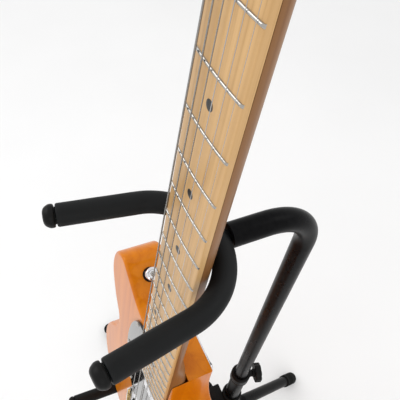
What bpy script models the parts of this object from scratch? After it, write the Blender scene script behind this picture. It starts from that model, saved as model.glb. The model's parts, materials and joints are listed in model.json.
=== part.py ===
"""An electric guitar standing in a tubular floor stand.

Units are metres and +Z is up.  The world origin is where the axis of the stand's
tube meets the floor.  The guitar faces -Y, and its treble side is towards +X.

Two empties carry the two assemblies:
  stand_frame   Z runs up the leaning tube, Y points back, X across
  guitar_frame  origin at the middle of the nut, on the fretboard's surface.
                X runs across to the treble side, Y is depth behind the
                fretboard, and Z runs up the neck, so a place that lies S
                down the neck from the nut has z = -S
"""
import bmesh
import bpy
from math import cos, pi, radians, sin, sqrt, tan
from mathutils import Matrix, Vector

GAP = 0.0003              # clearance between pieces that touch

# ---- stand -----------------------------------------------------------------
TUBE_LEAN = radians(3.0)      # the tube leans back
UPPER_RADIUS = 0.0093
UPPER_WALL = 0.0012
LOWER_WALL = 0.0012
LOWER_RADIUS = UPPER_RADIUS + LOWER_WALL + 0.0007     # the upper tube slides in it
LOWER_BOTTOM = 0.154          # heights along the tube, from the floor
LOWER_TOP = 0.418
INSERTION = 0.080             # upper tube inside the lower one
YOKE_HEIGHT = 0.8375          # yoke's base, along the tube
YOKE_REACH = 0.0845           # yoke's base in front of the tube's axis
CANE_BEND = 0.0493            # centreline radius of the upper tube's bend
CANE_RISE = radians(2.8)      # the tube's end rises towards the yoke

YOKE_BAR_RADIUS = 0.0048
YOKE_FOAM_RADIUS = 0.0083
YOKE_ROOM = 0.0081            # beside the neck, to the foam at the corners of the U
YOKE_ROUND = 1.16             # bend's radius, as a share of the U's half width
YOKE_SPLAY = radians(9.3)
YOKE_PITCH = radians(1.5)
YOKE_ARM = 0.0953             # corner of the U to the end of the foam
CAP_LENGTH = 0.0085

CRADLE_HEIGHT = 0.312         # bracket's middle, along the tube
CRADLE_BAR_RADIUS = 0.0048
CRADLE_FOAM_RADIUS = 0.0092
CRADLE_HALF_WIDTH = 0.106     # arms from the guitar's middle line
CRADLE_BEND = 0.0186
CRADLE_FRONT = 0.072          # arm's end in front of the guitar's face
CRADLE_TIP_RISE = radians(9.0)
CRADLE_FOAM_START = 0.050     # inner end of the foam, from the tube's middle plane
CRADLE_STRAIGHT = 0.032       # half the bar's straight part in its bracket
BRACKET_HALF = 0.014
BEND_ROOM = 0.0005            # from the bracket to the start of the bar's bend
BAR_AHEAD = 0.0155            # the cradle's bar in front of the lower tube's wall

LEG_RADIUS = 0.0105
LEG_WALL = 0.0014
HUB_HEIGHT = 0.187            # leg pivots, along the tube
HUB_RADIUS = LOWER_RADIUS + 0.0040
HUB_LENGTH = 0.036
PIVOT_REACH = LOWER_RADIUS + 0.0175                   # leg pivot from the tube's axis
PIVOT_RADIUS = 0.0028
EAR_THICKNESS = 0.0030
LEG_TONGUE = 0.0060           # thickness of the leg's flattened end
REAR_FOOT = 0.2105            # foot's place from the tube's foot point
FRONT_FOOT = 0.333
REAR_YAW = radians(-7.8)
FRONT_YAW = radians(66.5)
FOOT_RADIUS = LEG_RADIUS + 0.0023
FOOT_LENGTH = 0.046
FOOT_LIFT = 0.0105            # height of the foot's axis end above the floor

COLLAR_RADIUS = LOWER_RADIUS + 0.0025
COLLAR_HEIGHT = 0.020
COLLAR_OVERLAP = 0.010        # how far the collar reaches down the lower tube
SCREW_RADIUS = 0.0030
KNOB_RADIUS = 0.0135
KNOB_LENGTH = 0.0115
KNOB_ANGLE = radians(72.0)    # turned from +X towards the back

# ---- guitar ----------------------------------------------------------------
GUITAR_LEAN = radians(8.9)
GUITAR_ROLL = radians(-0.8)
GUITAR_YAW = radians(1.2)
YOKE_OFFSET = -0.0027         # yoke's middle, across the neck
NECK_REST = 0.0010            # least room between the neck's back and the foam
SCALE = 0.648
BODY_LAYOUT = SCALE / 0.648   # the body's places down the strings follow the scale
NUT_HEIGHT = CRADLE_HEIGHT + 0.735 * BODY_LAYOUT      # along the tube
YOKE_ON_NECK = NUT_HEIGHT - YOKE_HEIGHT               # yoke's base, down from the nut
FRETS = 21
NUT_WIDTH = 0.042
HEEL_WIDTH = 0.0565
BOARD_THICKNESS = 0.0050
BOARD_RADIUS = 0.241
NECK_BACK_NUT = 0.0203        # depth of the neck's back at the nut
NECK_BACK_HEEL = 0.0222
HEEL_BACK = 0.0250
BODY_FRONT = 0.0070           # depth of the body's two faces
BODY_BACK = 0.0520
NECK_JOINT = 0.396 * BODY_LAYOUT              # body's edge at the neck
BODY_MIDDLE = 0.580 * BODY_LAYOUT             # a place inside the body's outline
EDGE_ROUND = 0.0030
HEAD_FRONT = 0.0090
HEAD_BACK = 0.0225
PLATE = 0.0016                # metal and plastic plates on the face
GUARD = 0.0024

BRIDGE_TOP = 0.583 * BODY_LAYOUT
BRIDGE_END = 0.668 * BODY_LAYOUT
BRIDGE_HALF = 0.042
BRIDGE_LIP = 0.0090
SADDLE_RADIUS = 0.0042
SADDLE_HALF = 0.0118
SADDLE_PITCH = 0.0245
NECK_PICKUP = (0.0, 0.4825 * BODY_LAYOUT, 0.037, 0.0115)    # centre a, s and half sizes
BRIDGE_PICKUP = (0.0, 0.611 * BODY_LAYOUT, 0.035, 0.0105)
PICKUP_SLANT = radians(-14.0)
CONTROL = (0.098, 0.652 * BODY_LAYOUT, 0.017, 0.080 * BODY_LAYOUT)
KNOB_PLACES = {"volume_knob": 0.640 * BODY_LAYOUT, "tone_knob": 0.684 * BODY_LAYOUT}
LEVER_PLACE = 0.596 * BODY_LAYOUT
NECK_PLATE_PLACE = 0.435 * BODY_LAYOUT
DIAL_RADIUS = 0.0095
DIAL_HEIGHT = 0.0160
SHAFT_RADIUS = 0.0030

TUNERS = 6
TUNER_PITCH = 0.0240
TUNER_FIRST = (-0.0200, 0.036)  # across, and above the nut
TUNER_STEP = 0.0064             # sideways step from post to post
STRIP_END = 0.012               # the gearbox strip past the first and last posts
STRIP_EDGE = 0.0090             # the strip's edge, from the line of posts
POST_RADIUS = 0.0034
POST_PROUD = 0.0120
GEARBOX_DEPTH = 0.0085
BUTTON_OUT = 0.0255             # button's middle from the post's axis
BUTTON_RADIUS = 0.0088
BUTTON_LENGTH = 0.0110


# ---- helpers ---------------------------------------------------------------
def clear_scene():
    for old in list(bpy.data.objects):
        bpy.data.objects.remove(old, do_unlink=True)


def paint(obj, color, roughness, metallic):
    mat = bpy.data.materials.new(obj.name + "_finish")
    mat.use_nodes = True
    shader = mat.node_tree.nodes["Principled BSDF"]
    shader.inputs["Base Color"].default_value = (*color, 1.0)
    shader.inputs["Roughness"].default_value = roughness
    shader.inputs["Metallic"].default_value = metallic
    obj.data.materials.append(mat)


FINISH = {
    "gloss_black": ((0.012, 0.012, 0.013), 0.30, 0.0),
    "foam": ((0.010, 0.010, 0.011), 0.85, 0.0),
    "plastic": ((0.014, 0.014, 0.015), 0.45, 0.0),
    "rubber": ((0.012, 0.012, 0.012), 0.80, 0.0),
    "steel": ((0.55, 0.55, 0.56), 0.30, 1.0),
    "chrome": ((0.78, 0.78, 0.80), 0.08, 1.0),
    "brass": ((0.72, 0.50, 0.20), 0.25, 1.0),
    "orange": ((0.72, 0.20, 0.012), 0.12, 0.0),
    "maple": ((0.74, 0.50, 0.27), 0.35, 0.0),
    "bone": ((0.80, 0.77, 0.68), 0.45, 0.0),
}


def add(name, data, parent, finish, place=None):
    """Links an object for data under parent, with place as its local matrix."""
    obj = bpy.data.objects.new(name, data)
    bpy.context.scene.collection.objects.link(obj)
    obj.parent = parent
    if place is not None:
        obj.matrix_local = place
    if finish:
        paint(obj, *FINISH[finish])
    return obj


def mesh_object(name, bm, parent, finish, place=None, smooth=True):
    bmesh.ops.recalc_face_normals(bm, faces=bm.faces)
    mesh = bpy.data.meshes.new(name)
    bm.to_mesh(mesh)
    bm.free()
    if smooth:
        mesh.shade_smooth()
        mesh.set_sharp_from_angle(angle=radians(35))
    return add(name, mesh, parent, finish, place)


def axes_at(origin, z_axis, x_hint=(1, 0, 0)):
    """A matrix at origin whose Z runs along z_axis."""
    z = Vector(z_axis).normalized()
    x = Vector(x_hint) - z * z.dot(Vector(x_hint))
    x.normalize()
    y = z.cross(x)
    turn = Matrix((x, y, z)).transposed().to_4x4()
    return Matrix.Translation(Vector(origin)) @ turn


def turned(profile, steps=18):
    """Closed body of revolution round Z.  profile is a closed loop of (radius, z)."""
    bm = bmesh.new()
    points = [bm.verts.new((r, 0.0, z)) for r, z in profile]
    pairs = zip(points, points[1:] + points[:1])
    edges = [bm.edges.new(pair) for pair in pairs if pair[0].co.x + pair[1].co.x > 0.0]
    bmesh.ops.spin(bm, geom=points + edges, cent=(0, 0, 0), axis=(0, 0, 1),
                   angle=2 * pi, steps=steps, use_merge=True)
    bmesh.ops.remove_doubles(bm, verts=bm.verts, dist=1e-6)
    return bm


def drill(radius, low, high, steps=12):
    """A plain cylinder along Z, to cut a hole with."""
    return turned([(0, low), (radius, low), (radius, high), (0, high)], steps)


def ring_profile(outer, inner, low, high, edge=0.0008):
    """Profile of a tube piece with its outer corners broken."""
    return [(inner, low), (outer - edge, low), (outer, low + edge),
            (outer, high - edge), (outer - edge, high), (inner, high)]


def slab(outline, low, high, axis="Y"):
    """Prism on a flat outline.  Its thickness runs along Y or Z."""
    bm = bmesh.new()
    if axis == "Y":
        points = [bm.verts.new((u, low, v)) for u, v in outline]
        shift = (0, high - low, 0)
    else:
        points = [bm.verts.new((u, v, low)) for u, v in outline]
        shift = (0, 0, high - low)
    face = bm.faces.new(points)
    made = bmesh.ops.extrude_face_region(bm, geom=[face])["geom"]
    moved = [item for item in made if isinstance(item, bmesh.types.BMVert)]
    bmesh.ops.translate(bm, verts=moved, vec=shift)
    return bm


def box(size, centre=(0, 0, 0)):
    bm = bmesh.new()
    bmesh.ops.create_cube(bm, size=1.0)
    bmesh.ops.scale(bm, vec=size, verts=bm.verts)
    bmesh.ops.translate(bm, vec=centre, verts=bm.verts)
    return bm


def loft(rings):
    """Closed body through rings of equal count."""
    bm = bmesh.new()
    loops = []
    for ring in rings:
        points = [bm.verts.new(p) for p in ring]
        loops.append([bm.edges.new((a, b)) for a, b in zip(points, points[1:] + points[:1])])
        if ring is rings[0] or ring is rings[-1]:
            bm.faces.new(points)
    for near, far in zip(loops, loops[1:]):
        bmesh.ops.bridge_loops(bm, edges=near + far)
    return bm


def absorb(bm, other):
    """Adds the bmesh other to bm."""
    mesh = bpy.data.meshes.new("absorbed")
    other.to_mesh(mesh)
    other.free()
    bm.from_mesh(mesh)
    bpy.data.meshes.remove(mesh)
    return bm


def change(obj, name, bm, parent, operation="DIFFERENCE", place=None):
    """Cuts obj by a hidden tool made of bm, or joins the tool to it."""
    tool = mesh_object(name, bm, parent, None, place, smooth=False)
    tool.hide_render = True
    tool.display_type = "WIRE"
    step = obj.modifiers.new(name, "BOOLEAN")
    step.operation = operation
    step.solver = "EXACT"
    step.object = tool
    return tool


def filleted(corners, radius, steps=8):
    """The polyline through corners, with each inner corner bent to radius."""
    corners = [Vector(c) for c in corners]
    path = [corners[0]]
    for before, here, after in zip(corners, corners[1:], corners[2:]):
        back = (before - here).normalized()
        ahead = (after - here).normalized()
        turn = pi - back.angle(ahead)
        reach = radius * tan(turn / 2)
        start, centre_way = here + back * reach, (back + ahead).normalized()
        centre = here + centre_way * (radius / cos(turn / 2))
        arm = start - centre
        axis = back.cross(ahead).normalized()
        for i in range(steps + 1):
            spin = Matrix.Rotation(-turn * i / steps, 3, axis)
            path.append(centre + spin @ arm)
    path.append(corners[-1])
    return path


def rod(name, path, radius, parent, finish, wall=None, sides=16):
    """A round bar along path, or a tube when wall is given."""
    curve = bpy.data.curves.new(name, "CURVE")
    curve.dimensions = "3D"
    curve.twist_mode = "MINIMUM"
    curve.bevel_depth = radius
    curve.bevel_resolution = sides // 2 - 2
    curve.use_fill_caps = wall is None
    spline = curve.splines.new("POLY")
    spline.points.add(len(path) - 1)
    for point, place in zip(spline.points, path):
        point.co = (*place, 1.0)
    guide = bpy.data.objects.new(name + "_line", curve)
    bpy.context.scene.collection.objects.link(guide)
    depsgraph = bpy.context.evaluated_depsgraph_get()
    mesh = bpy.data.meshes.new_from_object(guide.evaluated_get(depsgraph))
    bpy.data.objects.remove(guide, do_unlink=True)
    bm = bmesh.new()
    bm.from_mesh(mesh)
    bpy.data.meshes.remove(mesh)
    bmesh.ops.remove_doubles(bm, verts=bm.verts, dist=1e-6)
    obj = mesh_object(name, bm, parent, finish)
    if wall is not None:
        shell = obj.modifiers.new("wall", "SOLIDIFY")
        shell.thickness = wall
        shell.offset = -1.0
        shell.use_even_offset = True
        shell.use_rim = True
    return obj


def smooth_loop(points, per_span):
    """Closed Catmull-Rom curve.  A point given as (x, y, True) stays a corner."""
    out = []
    count = len(points)
    for i in range(count):
        p0, p1, p2, p3 = (points[(i + k) % count] for k in (-1, 0, 1, 2))
        a, b, c, d = (Vector(p[:2]) for p in (p0, p1, p2, p3))
        corner_b, corner_c = len(p1) > 2, len(p2) > 2
        if corner_b and corner_c:
            out.append(tuple(b))
            continue
        start = (c - b) if corner_b else (c - a) / 2
        end = (c - b) if corner_c else (d - b) / 2
        for k in range(per_span):
            t = k / per_span
            h1 = 2 * t ** 3 - 3 * t ** 2 + 1
            h2 = t ** 3 - 2 * t ** 2 + t
            h3 = -2 * t ** 3 + 3 * t ** 2
            h4 = t ** 3 - t ** 2
            out.append(tuple(b * h1 + start * h2 + c * h3 + end * h4))
    return out


def rounded_box(half_x, half_y, radius, steps=4):
    """Outline of a rectangle with round corners, centred on 0, 0."""
    out = []
    for k, (sx, sy) in enumerate(((1, 1), (-1, 1), (-1, -1), (1, -1))):
        for i in range(steps + 1):
            angle = k * pi / 2 + i * pi / 2 / steps
            out.append((sx * (half_x - radius) + radius * cos(angle),
                        sy * (half_y - radius) + radius * sin(angle)))
    return out


def lerp(a, b, t):
    return a + (b - a) * t


# ---- frames ----------------------------------------------------------------
def empty(name, matrix):
    obj = bpy.data.objects.new(name, None)
    bpy.context.scene.collection.objects.link(obj)
    obj.matrix_world = matrix
    return obj


def neck_back(s):
    return lerp(NECK_BACK_NUT, NECK_BACK_HEEL, s / NECK_JOINT)


def neck_half(s):
    """Half the neck's width at s below the nut."""
    return lerp(NUT_WIDTH, HEEL_WIDTH, s / board_length()) / 2


def fret_place(number):
    return SCALE * (1 - 2 ** (-number / 12))


def board_length():
    return fret_place(FRETS) + 0.0055


def stand_matrix():
    return Matrix.Rotation(-TUBE_LEAN, 4, "X")


def yoke_half():
    """Half the U's width at its corners, round the neck."""
    return neck_half(YOKE_ON_NECK) + YOKE_FOAM_RADIUS + YOKE_ROOM


def rest_depth():
    """Depth of the yoke's middle, where its round foam just clears the neck's back."""
    half, back = neck_half(YOKE_ON_NECK), neck_back(YOKE_ON_NECK)
    inner = yoke_half() * YOKE_ROUND - YOKE_FOAM_RADIUS
    reach = 0.0
    for k in range(-9, 10):
        across = half * k / 10
        neck_rise = (back - BOARD_THICKNESS) * (1 - sqrt(1 - (k / 10) ** 2))
        foam_rise = inner - sqrt(inner ** 2 - (across - YOKE_OFFSET) ** 2)
        reach = max(reach, foam_rise - neck_rise)
    return back + reach + NECK_REST + YOKE_FOAM_RADIUS


def guitar_matrix():
    """The guitar hangs with its neck's back against the yoke's foam."""
    turn = (Matrix.Rotation(GUITAR_YAW, 4, "Z") @ Matrix.Rotation(GUITAR_ROLL, 4, "Y")
            @ Matrix.Rotation(-GUITAR_LEAN, 4, "X"))
    yoke = stand_matrix() @ Vector((0, -YOKE_REACH, YOKE_HEIGHT))
    on_neck = turn @ Vector((YOKE_OFFSET, rest_depth(), -YOKE_ON_NECK))
    return Matrix.Translation(yoke - on_neck) @ turn


# ---- stand pieces ----------------------------------------------------------
def upper_tube(stand):
    """Straight tube that bends forward at its top and ends behind the yoke."""
    rise = Vector((0, -cos(CANE_RISE), sin(CANE_RISE)))
    base = Vector((0, -YOKE_REACH, YOKE_HEIGHT))
    end = base - rise * (YOKE_FOAM_RADIUS + GAP)
    corner = base - rise * (YOKE_REACH / cos(CANE_RISE))
    foot = Vector((0, 0, LOWER_TOP - INSERTION))
    middle = Vector((0, 0, (foot.z + corner.z) / 2))
    path = filleted([foot, corner, end], CANE_BEND, 7)
    path.insert(1, middle)
    rod("upper_tube", path, UPPER_RADIUS, stand, "gloss_black", wall=UPPER_WALL, sides=16)


def yoke_path():
    """The U that holds the neck, from the bass end round to the treble end."""
    half = yoke_half()
    ahead = Vector((0, -cos(YOKE_PITCH), sin(YOKE_PITCH)))
    base = Vector((0, -YOKE_REACH, YOKE_HEIGHT))
    corners = []
    for side in (-1, 1):
        corner = base + Vector((side * half, 0, 0))
        way = ahead * cos(YOKE_SPLAY) + Vector((side * sin(YOKE_SPLAY), 0, 0))
        corners.append((corner, corner + way * YOKE_ARM, way))
    bass, treble = corners
    return filleted([bass[1], bass[0], treble[0], treble[1]], half * YOKE_ROUND, 6), bass, treble


def end_cap(radius, bore):
    """Rounded end cap with a blind bore, opening at z = 0."""
    depth = CAP_LENGTH * 0.55
    return turned([(bore, 0), (radius - 0.0012, 0), (radius - 0.0001, 0.0012),
                   (radius, CAP_LENGTH * 0.45), (radius - 0.0010, CAP_LENGTH * 0.78),
                   (radius * 0.62, CAP_LENGTH), (0, CAP_LENGTH), (0, depth), (bore, depth)], 14)


def lengthened(path, extra):
    """path with both ends carried on by extra."""
    first = path[0] + (path[0] - path[1]).normalized() * extra
    last = path[-1] + (path[-1] - path[-2]).normalized() * extra
    return [first] + path[1:-1] + [last]


def yoke(stand):
    path, bass, treble = yoke_path()
    bar = rod("yoke_bar", lengthened(path, CAP_LENGTH * 0.4), YOKE_BAR_RADIUS, stand,
              "gloss_black", sides=10)
    foam = rod("yoke_foam", path, YOKE_FOAM_RADIUS, stand, "foam",
               wall=YOKE_FOAM_RADIUS - YOKE_BAR_RADIUS - 2 * GAP, sides=12)
    rise = Vector((0, cos(CANE_RISE), -sin(CANE_RISE)))
    base = Vector((0, -YOKE_REACH, YOKE_HEIGHT))
    stem_start = YOKE_FOAM_RADIUS + 0.0015
    stem_end = YOKE_FOAM_RADIUS + 0.018
    stem_radius = UPPER_RADIUS - UPPER_WALL - GAP
    neck_radius = YOKE_BAR_RADIUS - GAP
    place = axes_at(base, rise)
    stem = turned([(0, 0), (neck_radius, 0), (neck_radius, stem_start),
                   (stem_radius, stem_start), (stem_radius, stem_end), (0, stem_end)], 12)
    change(bar, "stem_tool", stem, stand, "UNION", place)
    change(foam, "stem_hole_tool", drill(YOKE_BAR_RADIUS, 0, stem_start * 1.2), stand, place=place)
    for name, (_, end, way) in (("yoke_cap_bass", bass), ("yoke_cap_treble", treble)):
        cap = end_cap(YOKE_FOAM_RADIUS, YOKE_BAR_RADIUS + GAP)
        mesh_object(name, cap, stand, "plastic", axes_at(end + way * GAP, way))


def lower_tube(stand):
    profile = ring_profile(LOWER_RADIUS, LOWER_RADIUS - LOWER_WALL, LOWER_BOTTOM, LOWER_TOP, 0.0003)
    mesh_object("lower_tube", turned(profile), stand, "gloss_black")
    bore = LOWER_RADIUS - LOWER_WALL - GAP
    plug = [(0, LOWER_BOTTOM - 0.005), (LOWER_RADIUS - 0.002, LOWER_BOTTOM - 0.005),
            (LOWER_RADIUS, LOWER_BOTTOM - 0.003), (LOWER_RADIUS, LOWER_BOTTOM - GAP),
            (bore, LOWER_BOTTOM - GAP), (bore, LOWER_BOTTOM + 0.012), (0, LOWER_BOTTOM + 0.012)]
    mesh_object("tube_bottom_plug", turned(plug), stand, "plastic")


def clamp(stand):
    """Collar with a bush that guides the upper tube, and its clamping knob."""
    low = LOWER_TOP - COLLAR_OVERLAP
    high = low + COLLAR_HEIGHT
    wide, narrow = LOWER_RADIUS + GAP, UPPER_RADIUS + GAP
    profile = [(wide, low), (COLLAR_RADIUS - 0.0010, low), (COLLAR_RADIUS, low + 0.0010),
               (COLLAR_RADIUS, high - 0.0020), (COLLAR_RADIUS - 0.0015, high),
               (narrow, high), (narrow, LOWER_TOP + GAP), (wide, LOWER_TOP + GAP)]
    collar = mesh_object("clamp_collar", turned(profile), stand, "plastic")
    out = Vector((cos(KNOB_ANGLE), sin(KNOB_ANGLE), 0))
    place = axes_at((0, 0, lerp(LOWER_TOP, high, 0.45)), out, (0, 0, 1))
    hole = drill(SCREW_RADIUS + GAP, UPPER_RADIUS, COLLAR_RADIUS + 0.004)
    change(collar, "screw_hole_tool", hole, stand, place=place)
    seat = COLLAR_RADIUS + 0.0035
    back, face = seat + 0.0025, seat + KNOB_LENGTH
    tip = UPPER_RADIUS + GAP
    hub = KNOB_RADIUS * 0.45
    knob = [(0, tip), (SCREW_RADIUS, tip), (SCREW_RADIUS, seat), (hub, seat), (hub, back),
            (KNOB_RADIUS - 0.0015, back + 0.0005), (KNOB_RADIUS, back + 0.0020),
            (KNOB_RADIUS, face - 0.0020), (KNOB_RADIUS - 0.0020, face), (0, face)]
    mesh_object("clamp_knob", turned(knob, 16), stand, "plastic", place)


def leg_yaws():
    """Compass direction of each leg, from +Y towards +X."""
    return {"rear": (REAR_YAW, REAR_FOOT),
            "bass": (pi + FRONT_YAW, FRONT_FOOT),
            "treble": (pi - FRONT_YAW, FRONT_FOOT)}


def leg_line(yaw, reach):
    """Pivot, foot end and pivot axis of a leg, in world coordinates."""
    level = Vector((sin(yaw), cos(yaw), 0))
    out = stand_matrix().to_3x3() @ level
    pivot = stand_matrix() @ Vector((0, 0, HUB_HEIGHT)) + out * PIVOT_REACH
    foot = Vector((level.x * reach, level.y * reach, FOOT_LIFT))
    return pivot, foot, out


def leg_collar(stand):
    """Collar on the lower tube with a pair of ears for each leg."""
    low, high = HUB_HEIGHT - HUB_LENGTH / 2, HUB_HEIGHT + HUB_LENGTH / 2
    profile = ring_profile(HUB_RADIUS, LOWER_RADIUS + GAP, low, high, 0.0012)
    collar = mesh_object("leg_collar", turned(profile, 20), stand, "plastic")
    ears = bmesh.new()
    reach = PIVOT_REACH + 0.0055
    start = LOWER_RADIUS + 0.0022
    for yaw, _ in leg_yaws().values():
        for side in (-1, 1):
            ear = box((EAR_THICKNESS, reach - start, 0.013),
                      (side * (LEG_TONGUE / 2 + GAP + EAR_THICKNESS / 2), (reach + start) / 2, 0))
            bmesh.ops.rotate(ear, cent=(0, 0, 0), matrix=Matrix.Rotation(-yaw, 3, "Z"), verts=ear.verts)
            bmesh.ops.translate(ear, vec=(0, 0, HUB_HEIGHT), verts=ear.verts)
            absorb(ears, ear)
    change(collar, "ears_tool", ears, stand, "UNION")
    holes = bmesh.new()
    for yaw, _ in leg_yaws().values():
        hole = drill(PIVOT_RADIUS + GAP, -0.02, 0.02)
        hole.transform(Matrix.Translation((0, 0, HUB_HEIGHT)) @ Matrix.Rotation(-yaw, 4, "Z")
                       @ Matrix.Translation((0, PIVOT_REACH, 0)) @ Matrix.Rotation(pi / 2, 4, "Y"))
        absorb(holes, hole)
    change(collar, "pin_holes_tool", holes, stand)


def legs():
    """Three legs of tube with flattened ends, their pins and rubber feet."""
    for side, (yaw, reach) in leg_yaws().items():
        pivot, foot, out = leg_line(yaw, reach)
        along = (foot - pivot).normalized()
        pin_axis = along.cross(out).normalized()
        length = (foot - pivot).length
        place = axes_at(pivot, along, pin_axis)
        tongue_end = 0.026
        tube_end = length - 0.006
        half = LEG_TONGUE / 2
        rings = []
        for z, wide, thick in ((-0.0055, 0.0050, half), (-0.0020, 0.0062, half),
                               (0.0100, 0.0070, half), (tongue_end, LEG_RADIUS, LEG_RADIUS),
                               (tube_end, LEG_RADIUS, LEG_RADIUS)):
            rings.append([Vector((thick * cos(a), wide * sin(a), z))
                          for a in (2 * pi * k / 16 for k in range(16))])
        leg = mesh_object("leg_" + side, loft(rings), None, "gloss_black", place)
        hole = drill(PIVOT_RADIUS + GAP, -0.02, 0.02)
        change(leg, "leg_drill_" + side, hole, leg, place=Matrix.Rotation(pi / 2, 4, "Y"))
        bore = LEG_RADIUS - LEG_WALL
        hollow = turned([(0, tongue_end + 0.008), (bore, tongue_end + 0.020), (bore, length + 0.02),
                         (0, length + 0.02)], 16)
        change(leg, "leg_bore_" + side, hollow, leg, place=Matrix.Identity(4))
        grip = half + GAP + EAR_THICKNESS + 0.0004
        head, end = PIVOT_RADIUS + 0.0014, grip + 0.0016
        pin = turned([(0, -end), (head, -end), (head, -grip), (PIVOT_RADIUS, -grip),
                      (PIVOT_RADIUS, grip), (head, grip), (head, end), (0, end)], 12)
        mesh_object("leg_pin_" + side, pin, None, "steel", place @ Matrix.Rotation(pi / 2, 4, "Y"))
        rubber_foot(side, place, length, tube_end)


def rubber_foot(side, place, length, tube_end):
    """Rubber cup on the leg's end, cut flat where it stands on the floor."""
    low = length - FOOT_LENGTH + FOOT_RADIUS * 0.8
    high = low + FOOT_LENGTH
    bore = LEG_RADIUS + GAP
    profile = [(bore, low), (FOOT_RADIUS - 0.001, low), (FOOT_RADIUS, low + 0.001),
               (FOOT_RADIUS, high - 0.005), (FOOT_RADIUS - 0.0015, high - 0.0018),
               (FOOT_RADIUS - 0.005, high), (0, high), (0, tube_end + GAP), (bore, tube_end + GAP)]
    bm = turned(profile, 16)
    floor = place.inverted()
    up = (floor.to_3x3() @ Vector((0, 0, 1))).normalized()
    cut = bmesh.ops.bisect_plane(bm, geom=bm.verts[:] + bm.edges[:] + bm.faces[:],
                                 plane_co=floor.translation, plane_no=up, clear_inner=True)
    rim = [item for item in cut["geom_cut"] if isinstance(item, bmesh.types.BMEdge)]
    bmesh.ops.contextual_create(bm, geom=rim)
    mesh_object("foot_" + side, bm, None, "rubber", place)


# ---- cradle ----------------------------------------------------------------
def arm_on_body(side):
    """Centre of the cradle arm's foam where it touches the body's lower bout."""
    touch = CRADLE_FOAM_RADIUS + 0.0006
    best = None
    outline = body_outline()
    x = side * CRADLE_HALF_WIDTH
    for (x0, z0), (x1, z1) in zip(outline, outline[1:] + outline[:1]):
        for k in range(8):
            px, pz = lerp(x0, x1, k / 8), lerp(z0, z1, k / 8)
            away = x - px
            if abs(away) < touch and pz < -SCALE:
                z = pz - sqrt(touch ** 2 - away ** 2)
                best = z if best is None else min(best, z)
    return Vector((x, 0, best))


def cradle_path(to_stand, bar_y):
    """The bent bar under the body, from the bass arm's tip to the treble arm's."""
    tip_rise = Vector((0, -cos(CRADLE_TIP_RISE), sin(CRADLE_TIP_RISE)))
    arms = {}
    for side in (-1, 1):
        under = arm_on_body(side)
        face = under + Vector((0, BODY_FRONT + 0.004, 0))
        behind = under + Vector((0, BODY_BACK + 0.012, 0))
        arms[side] = [to_stand @ p for p in (face + tip_rise * CRADLE_FRONT, face, behind)]
    middle = [Vector((side * CRADLE_STRAIGHT, bar_y, CRADLE_HEIGHT)) for side in (-1, 1)]
    return filleted(arms[-1] + middle + arms[1][::-1], CRADLE_BEND, 4)


def cradle(stand, guitar_at):
    """The arms the body rests on, their foam, and the bracket on the lower tube."""
    bar_y = -LOWER_RADIUS - BAR_AHEAD
    path = cradle_path(stand_matrix().inverted() @ guitar_at, bar_y)
    rod("cradle_bar", lengthened(path, CAP_LENGTH * 0.4), CRADLE_BAR_RADIUS, stand,
        "gloss_black", sides=10)
    for side, label in ((-1, "bass"), (1, "treble")):
        ordered = path if side < 0 else path[::-1]
        sleeve = [p for p in ordered if side * p.x > CRADLE_FOAM_START]
        last, beyond = sleeve[-1], ordered[len(sleeve)]
        cut = (side * last.x - CRADLE_FOAM_START) / (side * (last.x - beyond.x))
        sleeve.append(last.lerp(beyond, cut))
        rod("cradle_foam_" + label, sleeve, CRADLE_FOAM_RADIUS, stand, "foam",
            wall=CRADLE_FOAM_RADIUS - CRADLE_BAR_RADIUS - 2 * GAP, sides=12)
        way = (ordered[0] - ordered[1]).normalized()
        cap = end_cap(CRADLE_FOAM_RADIUS, CRADLE_BAR_RADIUS + GAP)
        mesh_object("cradle_cap_" + label, cap, stand, "plastic",
                    axes_at(ordered[0] + way * GAP, way))
    ring = ring_profile(HUB_RADIUS, LOWER_RADIUS + GAP, CRADLE_HEIGHT - BRACKET_HALF,
                        CRADLE_HEIGHT + BRACKET_HALF, 0.0012)
    holder = mesh_object("cradle_bracket", turned(ring, 20), stand, "plastic")
    straight = min(abs(p.x) for p in path)
    block = box((2 * (straight - BEND_ROOM), 0.020, 0.022), (0, bar_y + 0.0028, CRADLE_HEIGHT))
    change(holder, "bracket_block_tool", block, stand, "UNION")
    middle = Matrix.Translation((0, 0, CRADLE_HEIGHT))
    bore = drill(LOWER_RADIUS + GAP, -0.05, 0.05, 20)
    change(holder, "bracket_bore_tool", bore, stand, place=middle)
    slot = drill(CRADLE_BAR_RADIUS + GAP, -0.06, 0.06, 16)
    change(holder, "bracket_slot_tool", slot, stand,
           place=middle @ Matrix.Translation((0, bar_y, 0)) @ Matrix.Rotation(pi / 2, 4, "Y"))


# ---- guitar pieces ---------------------------------------------------------
def body_outline():
    """Single-cutaway body, as (across, up) with the nut at 0."""
    heel = neck_half(NECK_JOINT) + 0.0009
    points = [(-heel, 0.3975, True), (-0.058, 0.3955), (-0.084, 0.3825), (-0.107, 0.3720),
              (-0.127, 0.3900), (-0.134, 0.4270), (-0.124, 0.4690), (-0.108, 0.5050),
              (-0.113, 0.5430), (-0.138, 0.5850), (-0.154, 0.6350), (-0.151, 0.6900),
              (-0.127, 0.7400), (-0.083, 0.7720), (0.0, 0.7860), (0.083, 0.7720),
              (0.127, 0.7400), (0.151, 0.6900), (0.154, 0.6350), (0.138, 0.5850),
              (0.113, 0.5430), (0.108, 0.5050), (0.123, 0.4690), (0.131, 0.4300),
              (0.121, 0.4060), (0.103, 0.4040), (0.088, 0.4230), (0.068, 0.4440),
              (0.044, 0.4450), (0.0315, 0.4280), (heel, 0.3985, True)]
    return [(x, -s * BODY_LAYOUT) for x, s in smooth_loop(points, 3)]


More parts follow.
